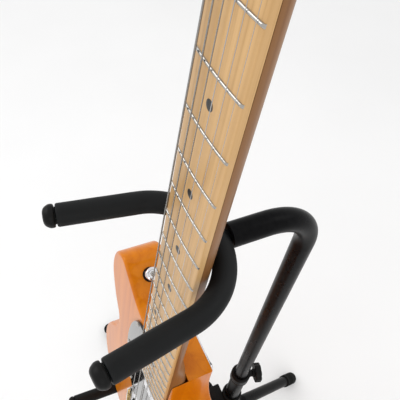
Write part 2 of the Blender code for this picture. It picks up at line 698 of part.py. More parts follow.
def pocket(centre_a, centre_s, half_a, half_s, low, high, turn=0.0, radius=0.003):
    """A rounded block sunk into the face, as a bmesh in guitar coordinates."""
    bm = slab(rounded_box(half_a, half_s, radius, 3), low, high)
    bm.transform(Matrix.Translation((centre_a, 0, -centre_s)) @ Matrix.Rotation(turn, 4, "Y"))
    return bm


def neck_space(margin):
    """Room for the neck's heel in the body and in the pickguard."""
    end = board_length() + margin
    half = neck_half(NECK_JOINT)
    half_end = neck_half(board_length())
    return [(-half - margin, -NECK_JOINT + 0.020), (-half_end - margin, -end),
            (half_end + margin, -end), (half + margin, -NECK_JOINT + 0.020)]


def guitar_body(guitar):
    body = mesh_object("guitar_body", slab(body_outline(), BODY_FRONT, BODY_BACK), guitar, "orange")
    edge = body.modifiers.new("edge", "BEVEL")
    edge.width = EDGE_ROUND
    edge.segments = 1
    edge.limit_method = "ANGLE"
    edge.angle_limit = radians(60)
    routes = slab(neck_space(GAP), -0.01, HEEL_BACK + GAP)
    a, s, half_a, half_s = NECK_PICKUP
    absorb(routes, pocket(a, s, half_a + 0.002, half_s + 0.002, -0.01, 0.026))
    change(body, "routes_tool", routes, guitar)
    a, s, half_a, half_s = BRIDGE_PICKUP
    more = pocket(a, s, half_a + 0.002, half_s + 0.002, -0.01, 0.028, PICKUP_SLANT)
    a, s, half_a, half_s = CONTROL
    absorb(more, pocket(a, s, half_a - 0.005, half_s - 0.008, -0.01, 0.044))
    change(body, "cavities_tool", more, guitar)


def neck(guitar):
    """Neck with its heel and the headstock, as one piece of maple."""
    joint = NECK_JOINT + 0.003
    rings = []
    top = BOARD_THICKNESS + GAP
    for s, back, square in ((-0.004, NECK_BACK_NUT, 1.0), (0.030, NECK_BACK_NUT + 0.0002, 1.0),
                            (0.210, neck_back(0.210), 1.0), (NECK_JOINT - 0.035, NECK_BACK_HEEL, 1.0),
                            (NECK_JOINT - 0.006, HEEL_BACK, 0.35), (joint, HEEL_BACK, 0.12),
                            (board_length(), HEEL_BACK, 0.12)):
        half = neck_half(max(s, 0.0))
        ring = []
        for k in range(13):
            angle = pi * k / 12
            x, y = cos(angle), sin(angle)
            power = lerp(0.18, 1.0, square)
            px = (abs(x) ** power) * (1 if x > 0 else -1) if abs(x) > 1e-9 else 0.0
            py = abs(y) ** power if abs(y) > 1e-9 else 0.0
            ring.append(Vector((half * px, lerp(top + 0.0006, back, py), -s)))
        ring.append(Vector((-half, top, -s)))
        ring.append(Vector((half, top, -s)))
        rings.append(ring)
    obj = mesh_object("neck", loft(rings), guitar, "maple")
    half = NUT_WIDTH / 2
    outline = smooth_loop([(-half, 0.006, True), (-half - 0.0005, 0.012), (-0.0300, 0.0210),
                           (-0.0365, 0.0320), (-0.0330, 0.0600), (-0.0130, 0.1360),
                           (-0.0050, 0.1640), (0.0050, 0.1830), (0.0230, 0.1840),
                           (0.0330, 0.1700), (0.0340, 0.1450), (0.0285, 0.0900),
                           (0.0235, 0.0400), (half + 0.0012, 0.0180), (half, 0.006, True)], 4)
    outline.append((half, -0.0045))
    outline.append((-half, -0.0045))
    head = slab([(x, z) for x, z in outline], HEAD_FRONT, HEAD_BACK)
    change(obj, "head_tool", head, guitar, "UNION")
    shelf = box((0.10, 0.02, 0.20), (0, HEAD_FRONT - 0.01, 0.10 + 0.0035))
    change(obj, "shelf_tool", shelf, guitar)
    holes = bmesh.new()
    for x, z in post_places():
        hole = drill(POST_RADIUS + 2 * GAP, -0.01, 0.03)
        hole.transform(Matrix.Translation((x, HEAD_FRONT, z)) @ Matrix.Rotation(-pi / 2, 4, "X"))
        absorb(holes, hole)
    change(obj, "post_holes_tool", holes, guitar)


def fretboard(guitar):
    """Cambered fretboard, and the nut at its end."""
    rings = []
    for s in (0.0, 0.12, 0.30, board_length()):
        half = neck_half(s)
        ring = []
        for k in range(9):
            x = lerp(-half, half, k / 8)
            ring.append(Vector((x, BOARD_RADIUS - sqrt(BOARD_RADIUS ** 2 - x * x), -s)))
        ring.append(Vector((half, BOARD_THICKNESS, -s)))
        ring.append(Vector((-half, BOARD_THICKNESS, -s)))
        rings.append(ring)
    mesh_object("fretboard", loft(rings), guitar, "maple")
    nut = box((NUT_WIDTH - 2 * GAP, 0.0070, 0.0030), (0, 0.0017, 0.0015 + GAP))
    mesh_object("nut", nut, guitar, "bone", smooth=False)


def face_plates(guitar):
    """Pickguard, pickups, bridge, control plate and neck plate."""
    under = BODY_FRONT - GAP
    half = neck_half(NECK_JOINT) + 0.0012
    half_end = neck_half(board_length()) + 0.0008
    top, end = BRIDGE_TOP / BODY_LAYOUT - 0.001, board_length() / BODY_LAYOUT + 0.0010
    guard = smooth_loop([(-half, 0.4035, True), (-0.0440, 0.4045), (-0.0570, 0.4200),
                         (-0.0660, 0.4500), (-0.0700, 0.4900), (-0.0660, 0.5300),
                         (-0.0560, 0.5600), (-0.0440, top, True),
                         (0.0440, top, True), (0.0640, 0.5740),
                         (0.0800, 0.5580, True), (0.0960, 0.5500, True), (0.1020, 0.5200),
                         (0.1060, 0.4850), (0.0980, 0.4580), (0.0780, 0.4500),
                         (0.0500, 0.4520), (0.0360, 0.4440), (half_end, 0.4320, True),
                         (half_end, end, True), (-half_end, end, True)], 3)
    sheet = slab([(x, -s * BODY_LAYOUT) for x, s in guard], under - GUARD, under)
    plate = mesh_object("pickguard", sheet, guitar, "gloss_black")
    a, s, half_a, half_s = NECK_PICKUP
    window = pocket(a, s, half_a + 0.0008, half_s + 0.0008, -0.01, 0.02)
    change(plate, "guard_window_tool", window, guitar)
    mesh_object("neck_pickup", pocket(a, s, half_a, half_s, 0.0030, 0.0200, radius=0.004), guitar, "chrome")

    lip = 0.0016
    floor = under - PLATE
    section = [(-BRIDGE_HALF, under), (BRIDGE_HALF, under), (BRIDGE_HALF, under - BRIDGE_LIP),
               (BRIDGE_HALF - lip, under - BRIDGE_LIP), (BRIDGE_HALF - lip, floor),
               (-BRIDGE_HALF + lip, floor), (-BRIDGE_HALF + lip, under - BRIDGE_LIP),
               (-BRIDGE_HALF, under - BRIDGE_LIP)]
    plate = mesh_object("bridge_plate", slab(section, -BRIDGE_END, -BRIDGE_TOP, "Z"), guitar, "chrome")
    a, s, half_a, half_s = BRIDGE_PICKUP
    change(plate, "bridge_window_tool",
           pocket(a, s, half_a + 0.001, half_s + 0.001, -0.01, 0.02, PICKUP_SLANT), guitar)
    mesh_object("bridge_pickup", pocket(a, s, half_a, half_s, 0.0028, 0.0200, PICKUP_SLANT, 0.006),
                guitar, "plastic")
    along = Matrix.Rotation(pi / 2, 4, "Y")
    height = floor - GAP - SADDLE_RADIUS
    for side, label in ((-1, "bass"), (0, "middle"), (1, "treble")):
        place = Matrix.Translation((side * SADDLE_PITCH, height, 0.002 * side - SCALE)) @ along
        saddle = drill(SADDLE_RADIUS, -SADDLE_HALF, SADDLE_HALF, 16)
        mesh_object("saddle_" + label, saddle, guitar, "brass", place)

    a, s, half_a, half_s = CONTROL
    sheet = pocket(a, s, half_a, half_s, floor, under, radius=half_a * 0.98)
    plate = mesh_object("control_plate", sheet, guitar, "chrome")
    holes = pocket(a, LEVER_PLACE, 0.0028, 0.0105, -0.01, 0.02, radius=0.002)
    for place in KNOB_PLACES.values():
        hole = drill(SHAFT_RADIUS + GAP, -0.02, 0.02)
        hole.transform(Matrix.Translation((a, 0, -place)) @ Matrix.Rotation(pi / 2, 4, "X"))
        absorb(holes, hole)
    change(plate, "plate_holes_tool", holes, guitar)

    plate = slab(rounded_box(0.0255, 0.0320, 0.004, 3), BODY_BACK + GAP, BODY_BACK + GAP + 0.0020)
    mesh_object("neck_plate", plate, guitar, "chrome", Matrix.Translation((0, 0, -NECK_PLATE_PLACE)))


def controls(guitar):
    """Volume and tone knobs on their shafts, and the selector's lever."""
    floor = BODY_FRONT - GAP - PLATE
    forward = Matrix.Rotation(pi / 2, 4, "X")     # local Z points out of the face
    base = 0.0008
    top = base + DIAL_HEIGHT
    profile = [(0, -0.012), (SHAFT_RADIUS, -0.012), (SHAFT_RADIUS, base), (DIAL_RADIUS, base),
               (DIAL_RADIUS, top - 0.0015), (DIAL_RADIUS - 0.0015, top), (0, top)]
    for name, place in KNOB_PLACES.items():
        mesh_object(name, turned(profile, 16), guitar, "chrome",
                    Matrix.Translation((CONTROL[0], floor, -place)) @ forward)
    place = Matrix.Translation((CONTROL[0], floor + 0.006, -LEVER_PLACE)) @ forward
    blade = box((0.0026, 0.0030, 0.0235), (0, 0, 0.0095))
    lever = mesh_object("selector_lever", blade, guitar, "plastic", place)
    tip = turned([(0, 0.0160), (0.0030, 0.0160), (0.0046, 0.0190), (0.0046, 0.0265),
                  (0.0030, 0.0295), (0, 0.0295)], 14)
    change(lever, "lever_tip_tool", tip, guitar, "UNION", place)


def edge_place(across, down):
    """Matrix on the body's edge nearest this place, with Z pointing out of the edge."""
    outline = [Vector(p) for p in body_outline()]
    target = Vector((across, -down * BODY_LAYOUT))
    k = min(range(len(outline)), key=lambda i: (outline[i] - target).length)
    point = outline[k]
    along = (outline[(k + 1) % len(outline)] - outline[k - 1]).normalized()
    normal = Vector((along.y, -along.x))
    if normal.dot(point - Vector((0, -BODY_MIDDLE))) < 0:
        normal = -normal
    depth = (BODY_FRONT + BODY_BACK) / 2
    return axes_at((point.x, depth, point.y), (normal.x, 0, normal.y), (0, 1, 0))


def edge_fittings(guitar):
    """Strap buttons and the output jack on the body's edge."""
    button = [(0, 0.0006), (0.0062, 0.0006), (0.0052, 0.0022), (0.0036, 0.0048), (0.0042, 0.0082),
              (0.0072, 0.0100), (0.0072, 0.0118), (0.0050, 0.0132), (0, 0.0132)]
    cup = [(0.0034, 0.0014), (0.0110, 0.0014), (0.0118, 0.0022), (0.0110, 0.0034),
           (0.0060, 0.0040), (0.0060, 0.0056), (0.0034, 0.0056)]
    mesh_object("strap_button_upper", turned(button, 12), guitar, "chrome", edge_place(-0.084, 0.3825))
    mesh_object("strap_button_end", turned(button, 12), guitar, "chrome", edge_place(0, 0.786))
    mesh_object("jack_socket", turned(cup, 14), guitar, "chrome", edge_place(0.151, 0.690))


def post_places():
    x, z = TUNER_FIRST
    return [(x + TUNER_STEP * k, z + sqrt(TUNER_PITCH ** 2 - TUNER_STEP ** 2) * k) for k in range(TUNERS)]


def tuners(guitar):
    """Posts, worm buttons and the strip of gearboxes behind the head."""
    places = post_places()
    row = (Vector(places[-1]) - Vector(places[0])).normalized()
    out = Vector((-row.y, row.x))
    back = HEAD_BACK + GAP
    base, top = back + 0.0012, back + GEARBOX_DEPTH
    bump = 0.0085
    far = TUNER_PITCH * (TUNERS - 1) + STRIP_END
    outline = [(-STRIP_END, back), (-STRIP_END, base)]
    for k in range(TUNERS):
        low, high = TUNER_PITCH * k - bump, TUNER_PITCH * k + bump
        outline += [(low, base), (low + 0.001, top), (high - 0.001, top), (high, base)]
    outline += [(far, base), (far, back)]
    turn = Matrix(((row.x, 0, out.x), (0, 1, 0), (row.y, 0, out.y)))
    place = Matrix.Translation((places[0][0], 0, places[0][1])) @ turn.to_4x4()
    mesh_object("tuner_strip", slab(outline, -0.0070, STRIP_EDGE, "Z"), guitar, "chrome", place)
    length = HEAD_BACK - HEAD_FRONT + POST_PROUD
    post = [(0, 0.0001), (POST_RADIUS, 0.0001), (POST_RADIUS, length - 0.006),
            (POST_RADIUS - 0.0008, length - 0.004), (POST_RADIUS, length - 0.002),
            (POST_RADIUS - 0.0005, length), (0, length)]
    near, shaft = BUTTON_OUT - BUTTON_LENGTH / 2, STRIP_EDGE + GAP
    end = near + BUTTON_LENGTH
    button = [(0, shaft), (0.0022, shaft), (0.0022, near), (0.0042, near),
              (BUTTON_RADIUS * 0.75, near + 0.0016), (BUTTON_RADIUS, near + 0.0050),
              (BUTTON_RADIUS, end - 0.0025), (BUTTON_RADIUS * 0.8, end), (0, end)]
    for k, (x, z) in enumerate(places, 1):
        at = Matrix.Translation((x, HEAD_BACK, z)) @ Matrix.Rotation(pi / 2, 4, "X")
        mesh_object(f"tuner_post_{k}", turned(post, 10), guitar, "chrome", at)
        paddle = turned(button, 12)
        wide = [v for v in paddle.verts if v.co.z > near + 0.001]
        bmesh.ops.scale(paddle, vec=(1.0, 0.62, 1.0), verts=wide)
        at = axes_at((x, back + GEARBOX_DEPTH * 0.58, z), (out.x, 0, out.y), (0, 1, 0))
        mesh_object(f"tuner_button_{k}", paddle, guitar, "chrome", at)


def string_guide(guitar):
    """Small disc that holds the two thinnest strings down on the head."""
    profile = [(0, 0), (0.0030, 0), (0.0030, 0.0040), (0.0060, 0.0040), (0.0060, 0.0052), (0, 0.0058)]
    place = Matrix.Translation((0.0150, HEAD_FRONT - GAP, 0.0760)) @ Matrix.Rotation(pi / 2, 4, "X")
    mesh_object("string_guide", turned(profile, 14), guitar, "chrome", place)


def main():
    clear_scene()
    stand = empty("stand_frame", stand_matrix())
    guitar_at = guitar_matrix()
    guitar = empty("guitar_frame", guitar_at)
    bpy.context.view_layer.update()
    lower_tube(stand)
    upper_tube(stand)
    yoke(stand)
    clamp(stand)
    leg_collar(stand)
    legs()
    cradle(stand, guitar_at)
    guitar_body(guitar)
    neck(guitar)
    fretboard(guitar)
    face_plates(guitar)
    controls(guitar)
    edge_fittings(guitar)
    tuners(guitar)
    string_guide(guitar)


main()
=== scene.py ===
"""Finished surfaces for an electric guitar standing in its floor stand.

Units are metres and +Z is up.  Guitar pieces are shaped in the guitar's own
frame: X across to the treble side, Y depth behind the fretboard, Z up the
neck, with the nut at 0.  Stand pieces are shaped in the stand's frame, whose
Z runs up the leaning tube.
"""

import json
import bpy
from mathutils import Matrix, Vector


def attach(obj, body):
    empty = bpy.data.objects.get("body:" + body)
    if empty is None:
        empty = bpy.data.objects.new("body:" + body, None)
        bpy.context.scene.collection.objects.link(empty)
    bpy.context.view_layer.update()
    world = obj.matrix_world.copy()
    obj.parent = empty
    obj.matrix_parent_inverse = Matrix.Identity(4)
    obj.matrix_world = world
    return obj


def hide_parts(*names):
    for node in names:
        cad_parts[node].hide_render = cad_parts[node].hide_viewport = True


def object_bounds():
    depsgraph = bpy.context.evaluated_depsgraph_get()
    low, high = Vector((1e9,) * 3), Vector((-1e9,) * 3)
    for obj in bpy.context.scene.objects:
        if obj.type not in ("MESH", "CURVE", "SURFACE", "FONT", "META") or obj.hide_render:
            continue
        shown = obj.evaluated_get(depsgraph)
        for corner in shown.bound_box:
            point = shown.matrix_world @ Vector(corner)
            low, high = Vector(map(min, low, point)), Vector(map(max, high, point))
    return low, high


bl_info = {
    "name": "Guitar on Stand",
    "version": (1, 0, 0),
    "blender": (4, 5, 0),
    "location": "View3D > Sidebar > Guitar",
    "description": "Finished pieces and materials for a guitar in its floor stand",
    "category": "Object",
}

from math import cos, pi, radians, sin, sqrt, tan

import bmesh
import bpy
from mathutils import Matrix, Vector

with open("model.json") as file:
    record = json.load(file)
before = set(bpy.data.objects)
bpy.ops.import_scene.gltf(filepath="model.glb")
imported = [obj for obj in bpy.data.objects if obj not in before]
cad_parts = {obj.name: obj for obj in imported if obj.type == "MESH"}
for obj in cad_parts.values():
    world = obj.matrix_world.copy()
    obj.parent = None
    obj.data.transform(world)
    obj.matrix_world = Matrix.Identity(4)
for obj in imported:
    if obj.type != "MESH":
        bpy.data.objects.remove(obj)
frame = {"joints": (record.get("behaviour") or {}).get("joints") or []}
CAD_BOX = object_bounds()
JOINTS = {joint["name"]: joint for joint in frame["joints"]}

# ---- sizes shared with the solids underneath --------------------------------
GAP = 0.0003
SCALE = 0.648
FRET_COUNT = 21
NUT_WIDTH = 0.042
HEEL_WIDTH = 0.0565
BOARD_THICKNESS = 0.0050
BOARD_RADIUS = 0.241
NECK_BACK_NUT = 0.0203
NECK_BACK_HEEL = 0.0222
HEEL_BACK = 0.0250
BODY_FRONT = 0.0070
BODY_BACK = 0.0520
NECK_JOINT = 0.396
HEAD_FRONT = 0.0090
HEAD_BACK = 0.0225
FACE = BODY_FRONT - GAP
PLATE = 0.0016
GUARD = 0.0024
BRIDGE_TOP = 0.583
BRIDGE_END = 0.668
BRIDGE_HALF = 0.042
SADDLE_RADIUS = 0.0042
CONTROL_ACROSS = 0.098
CONTROL_MIDDLE = 0.652
CONTROL_HALF = (0.017, 0.080)
KNOB_PLACES = {"volume_knob": 0.640, "tone_knob": 0.684}
LEVER_PLACE = 0.596
NECK_PICKUP = (0.0, 0.4825, 0.037, 0.0115)
BRIDGE_PICKUP = (0.0, 0.611, 0.035, 0.0105)
PICKUP_SLANT = radians(-14.0)
TUNERS = 6
TUNER_PITCH = 0.0240
TUNER_FIRST = (-0.0200, 0.036)
TUNER_STEP = 0.0064
POST_RADIUS = 0.0034
POST_PROUD = 0.0120
GEARBOX_DEPTH = 0.0085
BUTTON_OUT = 0.0255
BUTTON_RADIUS = 0.0088
BUTTON_LENGTH = 0.0110

UPPER_RADIUS = 0.0093
LOWER_RADIUS = 0.0112
LOWER_BOTTOM = 0.154
LOWER_TOP = 0.418
TUBE_WALL = 0.0012
COLLAR_RADIUS = 0.0137
COLLAR_LAP = 0.010
SHANK_RADIUS = 0.0029
KNOB_RADIUS = 0.0135
INSERTION = 0.080
YOKE_HEIGHT = 0.8375
YOKE_REACH = 0.0845
CANE_BEND = 0.0493
CANE_RISE = radians(2.8)
YOKE_FOAM_RADIUS = 0.0083
YOKE_BEND = 0.0472
YOKE_HALF_WIDTH = 0.0407
YOKE_SPLAY = radians(9.3)
YOKE_PITCH = radians(1.5)
YOKE_ARM = 0.0953
CAP_LENGTH = 0.0085
CRADLE_HEIGHT = 0.312
CRADLE_BAR_RADIUS = 0.0048
CRADLE_FOAM_RADIUS = 0.0092
CRADLE_HALF_WIDTH = 0.106
CRADLE_STRAIGHT = 0.032
CRADLE_FOAM_START = 0.050
CRADLE_BEND = 0.0186
CRADLE_FRONT = 0.072
CRADLE_TIP_RISE = radians(9.0)
BRACKET_HALF = 0.014
BAR_AHEAD = 0.0155

# Each leg's direction from straight back, and its foot's distance from the tube
LEGS = {"rear": (radians(-7.8), 0.2105),
        "bass": (pi + radians(66.5), 0.333),
        "treble": (pi - radians(66.5), 0.333)}
HUB_HEIGHT = 0.187
HUB_RADIUS = 0.0152
HUB_HALF = 0.018
EAR_THICKNESS = 0.0030
PIVOT_REACH = 0.0287
PIN_RADIUS = 0.0028
LEG_RADIUS = 0.0105
FOOT_RADIUS = 0.0128
FOOT_LENGTH = 0.046
FOOT_LIFT = 0.0105
TONGUE = 0.0060

# The camera's place and directions, in the guitar's frame
EYE = (0.1391, -0.0947, 0.0420)
EYE_RIGHT = (0.42887, 0.88944, 0.15802)
EYE_FORWARD = (-0.52956, 0.38924, -0.75370)
EYE_LENS = 41.85


# ---- frames ------------------------------------------------------------------
def guitar_frame():
    """The guitar's frame, read from its joints."""
    up = Vector(JOINTS["guitar_lift"]["axis"]).normalized()
    back = -Vector(JOINTS["post_turn_1"]["axis"]).normalized()
    across = back.cross(up)
    turn = Matrix((across, back, up)).transposed()
    knob = Vector(JOINTS["volume_turn"]["pos_m"])
    local = Vector((CONTROL_ACROSS, FACE - PLATE, -KNOB_PLACES["volume_knob"]))
    return Matrix.Translation(knob - turn @ local) @ turn.to_4x4()


def stand_frame():
    up = Vector(JOINTS["height_slide"]["axis"]).normalized()
    across = Vector((1, 0, 0))
    return Matrix((across, up.cross(across), up)).transposed().to_4x4()


GUITAR = guitar_frame()
STAND = stand_frame()
FRONTWARD = Matrix.Rotation(pi / 2, 4, "X")     # local Z points out of the face


def axes_at(origin, z_axis, x_hint=(1, 0, 0)):
    z = Vector(z_axis).normalized()
    x = Vector(x_hint) - z * z.dot(Vector(x_hint))
    x.normalize()
    return Matrix.Translation(Vector(origin)) @ Matrix((x, z.cross(x), z)).transposed().to_4x4()


# ---- shapes ------------------------------------------------------------------
def lerp(a, b, t):
    return a + (b - a) * t


def ease(t):
    t = min(1.0, max(0.0, t))
    return t * t * (3 - 2 * t)


def lathe(profile, steps=48):
    """Body of revolution round Z from (radius, z) points."""
    bm = bmesh.new()
    points = [bm.verts.new((r, 0.0, z)) for r, z in profile]
    edges = [bm.edges.new(pair) for pair in zip(points, points[1:])]
    if profile[0][0] > 0 or profile[-1][0] > 0:
        edges.append(bm.edges.new((points[-1], points[0])))
    bmesh.ops.spin(bm, geom=points + edges, cent=(0, 0, 0), axis=(0, 0, 1),
                   angle=2 * pi, steps=steps, use_merge=True)
    bmesh.ops.remove_doubles(bm, verts=bm.verts, dist=1e-7)
    bmesh.ops.recalc_face_normals(bm, faces=bm.faces)
    return bm


def round_profile(points, radius, steps=4):
    """Fillets the inner corners of an open (radius, z) profile."""
    out = [points[0]]
    for before, here, after in zip(points, points[1:], points[2:]):
        a, b, c = Vector(before), Vector(here), Vector(after)
        size = min(radius, (a - b).length * 0.45, (c - b).length * 0.45)
        start, end = b + (a - b).normalized() * size, b + (c - b).normalized() * size
        for i in range(steps + 1):
            t = i / steps
            out.append(tuple(start * (1 - t) ** 2 + b * 2 * t * (1 - t) + end * t * t))
    out.append(points[-1])
    return out


def turned(points, radius=0.0008, steps=48):
    return lathe(round_profile(points, radius), steps)


def prism(outline, low, high, axis="Y"):
    """Straight-sided solid on an outline, from low to high along an axis."""
    place = {"X": lambda u, v: (low, u, v),
             "Y": lambda u, v: (u, low, v),
             "Z": lambda u, v: (u, v, low)}[axis]
    shift = [high - low if letter == axis else 0 for letter in "XYZ"]
    bm = bmesh.new()
    points = [bm.verts.new(place(u, v)) for u, v in outline]
    face = bm.faces.new(points)
    made = bmesh.ops.extrude_face_region(bm, geom=[face])["geom"]
    moved = [item for item in made if isinstance(item, bmesh.types.BMVert)]
    bmesh.ops.translate(bm, verts=moved, vec=shift)
    bmesh.ops.recalc_face_normals(bm, faces=bm.faces)
    return bm


def soften(bm, width, segments=3, least=radians(40), pick=None):
    """Rounds the edges that are sharper than least."""
    edges = [e for e in bm.edges if len(e.link_faces) == 2
             and e.calc_face_angle(0) > least and (pick is None or pick(e))]
    bmesh.ops.bevel(bm, geom=edges, offset=width, offset_type="OFFSET", segments=segments,
                    profile=0.5, affect="EDGES", material=-1, clamp_overlap=True)
    return bm


def settle(bm, margin=0.0005, least=12):
    """Frames every many-sided face, so that its shading stays flat up to its rim."""
    big = [face for face in bm.faces if len(face.verts) > least]
    bmesh.ops.inset_individual(bm, faces=big, thickness=margin, use_even_offset=True)
    return bm


def block(size, centre=(0, 0, 0), edge=0.0):
    bm = bmesh.new()
    bmesh.ops.create_cube(bm, size=1.0)
    bmesh.ops.scale(bm, vec=size, verts=bm.verts)
    bmesh.ops.translate(bm, vec=centre, verts=bm.verts)
    if edge:
        soften(bm, edge)
    return bm


def rounded_outline(half_x, half_y, radius, steps=8):
    out = []
    for k, (sx, sy) in enumerate(((1, 1), (-1, 1), (-1, -1), (1, -1))):
        for i in range(steps + 1):
            angle = k * pi / 2 + i * pi / 2 / steps
            out.append((sx * (half_x - radius) + radius * cos(angle),
                        sy * (half_y - radius) + radius * sin(angle)))
    return out


def smooth_loop(points, per_span):
    """Closed curve through points.  A point given as (x, y, True) stays a corner."""
    out = []
    count = len(points)
    for i in range(count):
        p0, p1, p2, p3 = (points[(i + k) % count] for k in (-1, 0, 1, 2))
        a, b, c, d = (Vector(p[:2]) for p in (p0, p1, p2, p3))
        corner_b, corner_c = len(p1) > 2, len(p2) > 2
        if corner_b and corner_c:
            out.append(tuple(b))
            continue
        start = (c - b) if corner_b else (c - a) / 2
        end = (c - b) if corner_c else (d - b) / 2
        for k in range(per_span):
            t = k / per_span
            out.append(tuple(b * (2 * t ** 3 - 3 * t ** 2 + 1) + start * (t ** 3 - 2 * t ** 2 + t)
                             + c * (-2 * t ** 3 + 3 * t ** 2) + end * (t ** 3 - t ** 2)))
    return out


def loft(stations, sides, place, capped=True):
    """Skin through rings.  place(station, k) gives point k of a station's ring."""
    bm = bmesh.new()
    ring = list(bmesh.ops.create_circle(bm, radius=1.0, segments=sides, cap_ends=capped)["verts"])
    loop = [bm.edges.get((ring[k], ring[(k + 1) % sides])) for k in range(sides)]
    for k, vert in enumerate(ring):
        vert.co = place(stations[0], k)
    for station in stations[1:]:
        made = bmesh.ops.extrude_edge_only(bm, edges=loop)["geom"]
        fresh = {item for item in made if isinstance(item, bmesh.types.BMVert)}
        follow = []
        for vert in ring:
            follow += [e.other_vert(vert) for e in vert.link_edges if e.other_vert(vert) in fresh]
        ring = follow
        for k, vert in enumerate(ring):
            vert.co = place(station, k)
        loop = [bm.edges.get((ring[k], ring[(k + 1) % sides])) for k in range(sides)]
    if capped:
        bmesh.ops.contextual_create(bm, geom=loop)
    bmesh.ops.recalc_face_normals(bm, faces=bm.faces)
    return bm


def ring_loft(rings):
    """Closed skin through ready rings of equal count."""
    return loft(rings, len(rings[0]), lambda ring, k: ring[k])


def path_frames(path):
    """A frame at each point of a path, turning as little as possible."""
    tangents = []
    for i in range(len(path)):
        before, after = path[max(i - 1, 0)], path[min(i + 1, len(path) - 1)]
        tangents.append((after - before).normalized())
    side = tangents[0].orthogonal().normalized()
    frames = []
    for point, way in zip(path, tangents):
        side = (side - way * side.dot(way)).normalized()
        frames.append((point, side, way.cross(side)))
    return frames


def swept(path, radius, sides=32, capped=True):
    """Round bar along a path.  radius is a number or a function of the path's share."""
    path = [Vector(p) for p in path]
    lengths = [0.0]
    for a, b in zip(path, path[1:]):
        lengths.append(lengths[-1] + (b - a).length)
    frames = path_frames(path)

    def place(i, k):
        point, side, up = frames[i]
        size = radius(lengths[i], lengths[-1]) if callable(radius) else radius
        angle = 2 * pi * k / sides
        return point + (side * cos(angle) + up * sin(angle)) * size

    return loft(range(len(path)), sides, place, capped)


def filleted(corners, radius, steps=20):
    corners = [Vector(c) for c in corners]
    path = [corners[0]]
    for before, here, after in zip(corners, corners[1:], corners[2:]):
        back, ahead = (before - here).normalized(), (after - here).normalized()
        turn = pi - back.angle(ahead)
        start = here + back * radius * tan(turn / 2)
        centre = here + (back + ahead).normalized() * (radius / cos(turn / 2))
        axis = back.cross(ahead).normalized()
        for i in range(steps + 1):
            path.append(centre + Matrix.Rotation(-turn * i / steps, 3, axis) @ (start - centre))
    path.append(corners[-1])
    return path


def dense(path, step):
    """The same path with a point at least every step."""
    out = [path[0]]
    for a, b in zip(path, path[1:]):
        count = max(1, round((b - a).length / step))
        out += [a.lerp(b, (i + 1) / count) for i in range(count)]
    return out


def absorb(bm, other, place=None):
    """Adds bmesh other to bm, moved by place."""
    if place is not None:
        other.transform(place)
        if place.determinant() < 0:
            bmesh.ops.reverse_faces(other, faces=other.faces)
    mesh = bpy.data.meshes.new("absorbed")
    other.to_mesh(mesh)
    other.free()
    bm.from_mesh(mesh)
    bpy.data.meshes.remove(mesh)
    return bm


def gathered(parts):
    """One bmesh from (bmesh, place) pairs."""
    bm = bmesh.new()
    for part, place in parts:
        absorb(bm, part, place)
    return bm


def as_piece(name, bm, finish, body, stands_for=(), place=None, sharp=35.0):
    """Makes the object, with its place in its mesh, and hands it to the frame."""
    if place is not None:
        bm.transform(place)
    mesh = bpy.data.meshes.new(name)
    bm.to_mesh(mesh)
    bm.free()
    mesh.shade_smooth()
    mesh.set_sharp_from_angle(angle=radians(sharp))
    obj = bpy.data.objects.new(name, mesh)
    bpy.context.scene.collection.objects.link(obj)
    for item in finish if isinstance(finish, (list, tuple)) else [finish]:
        mesh.materials.append(material(item))
    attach(obj, body)
    if stands_for:
        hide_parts(*stands_for)
    return obj


def carve(bm, cutters, operation="DIFFERENCE"):
    """bm with the solids in cutters cut away or joined, as a new bmesh."""
    def hold(item, name):
        mesh = bpy.data.meshes.new(name)
        item.to_mesh(mesh)
        item.free()
        obj = bpy.data.objects.new(name, mesh)
        bpy.context.scene.collection.objects.link(obj)
        return obj

    base = hold(bm, "carved")
    tools = [hold(cutter, "carving_tool") for cutter in cutters]
    for tool in tools:
        step = base.modifiers.new("carve", "BOOLEAN")
        step.operation = operation
        step.solver = "EXACT"
        step.object = tool
    depsgraph = bpy.context.evaluated_depsgraph_get()
    mesh = bpy.data.meshes.new_from_object(base.evaluated_get(depsgraph))
    out = bmesh.new()
    out.from_mesh(mesh)
    bpy.data.meshes.remove(mesh)
    for obj in [base] + tools:
        bpy.data.objects.remove(obj, do_unlink=True)
    return out


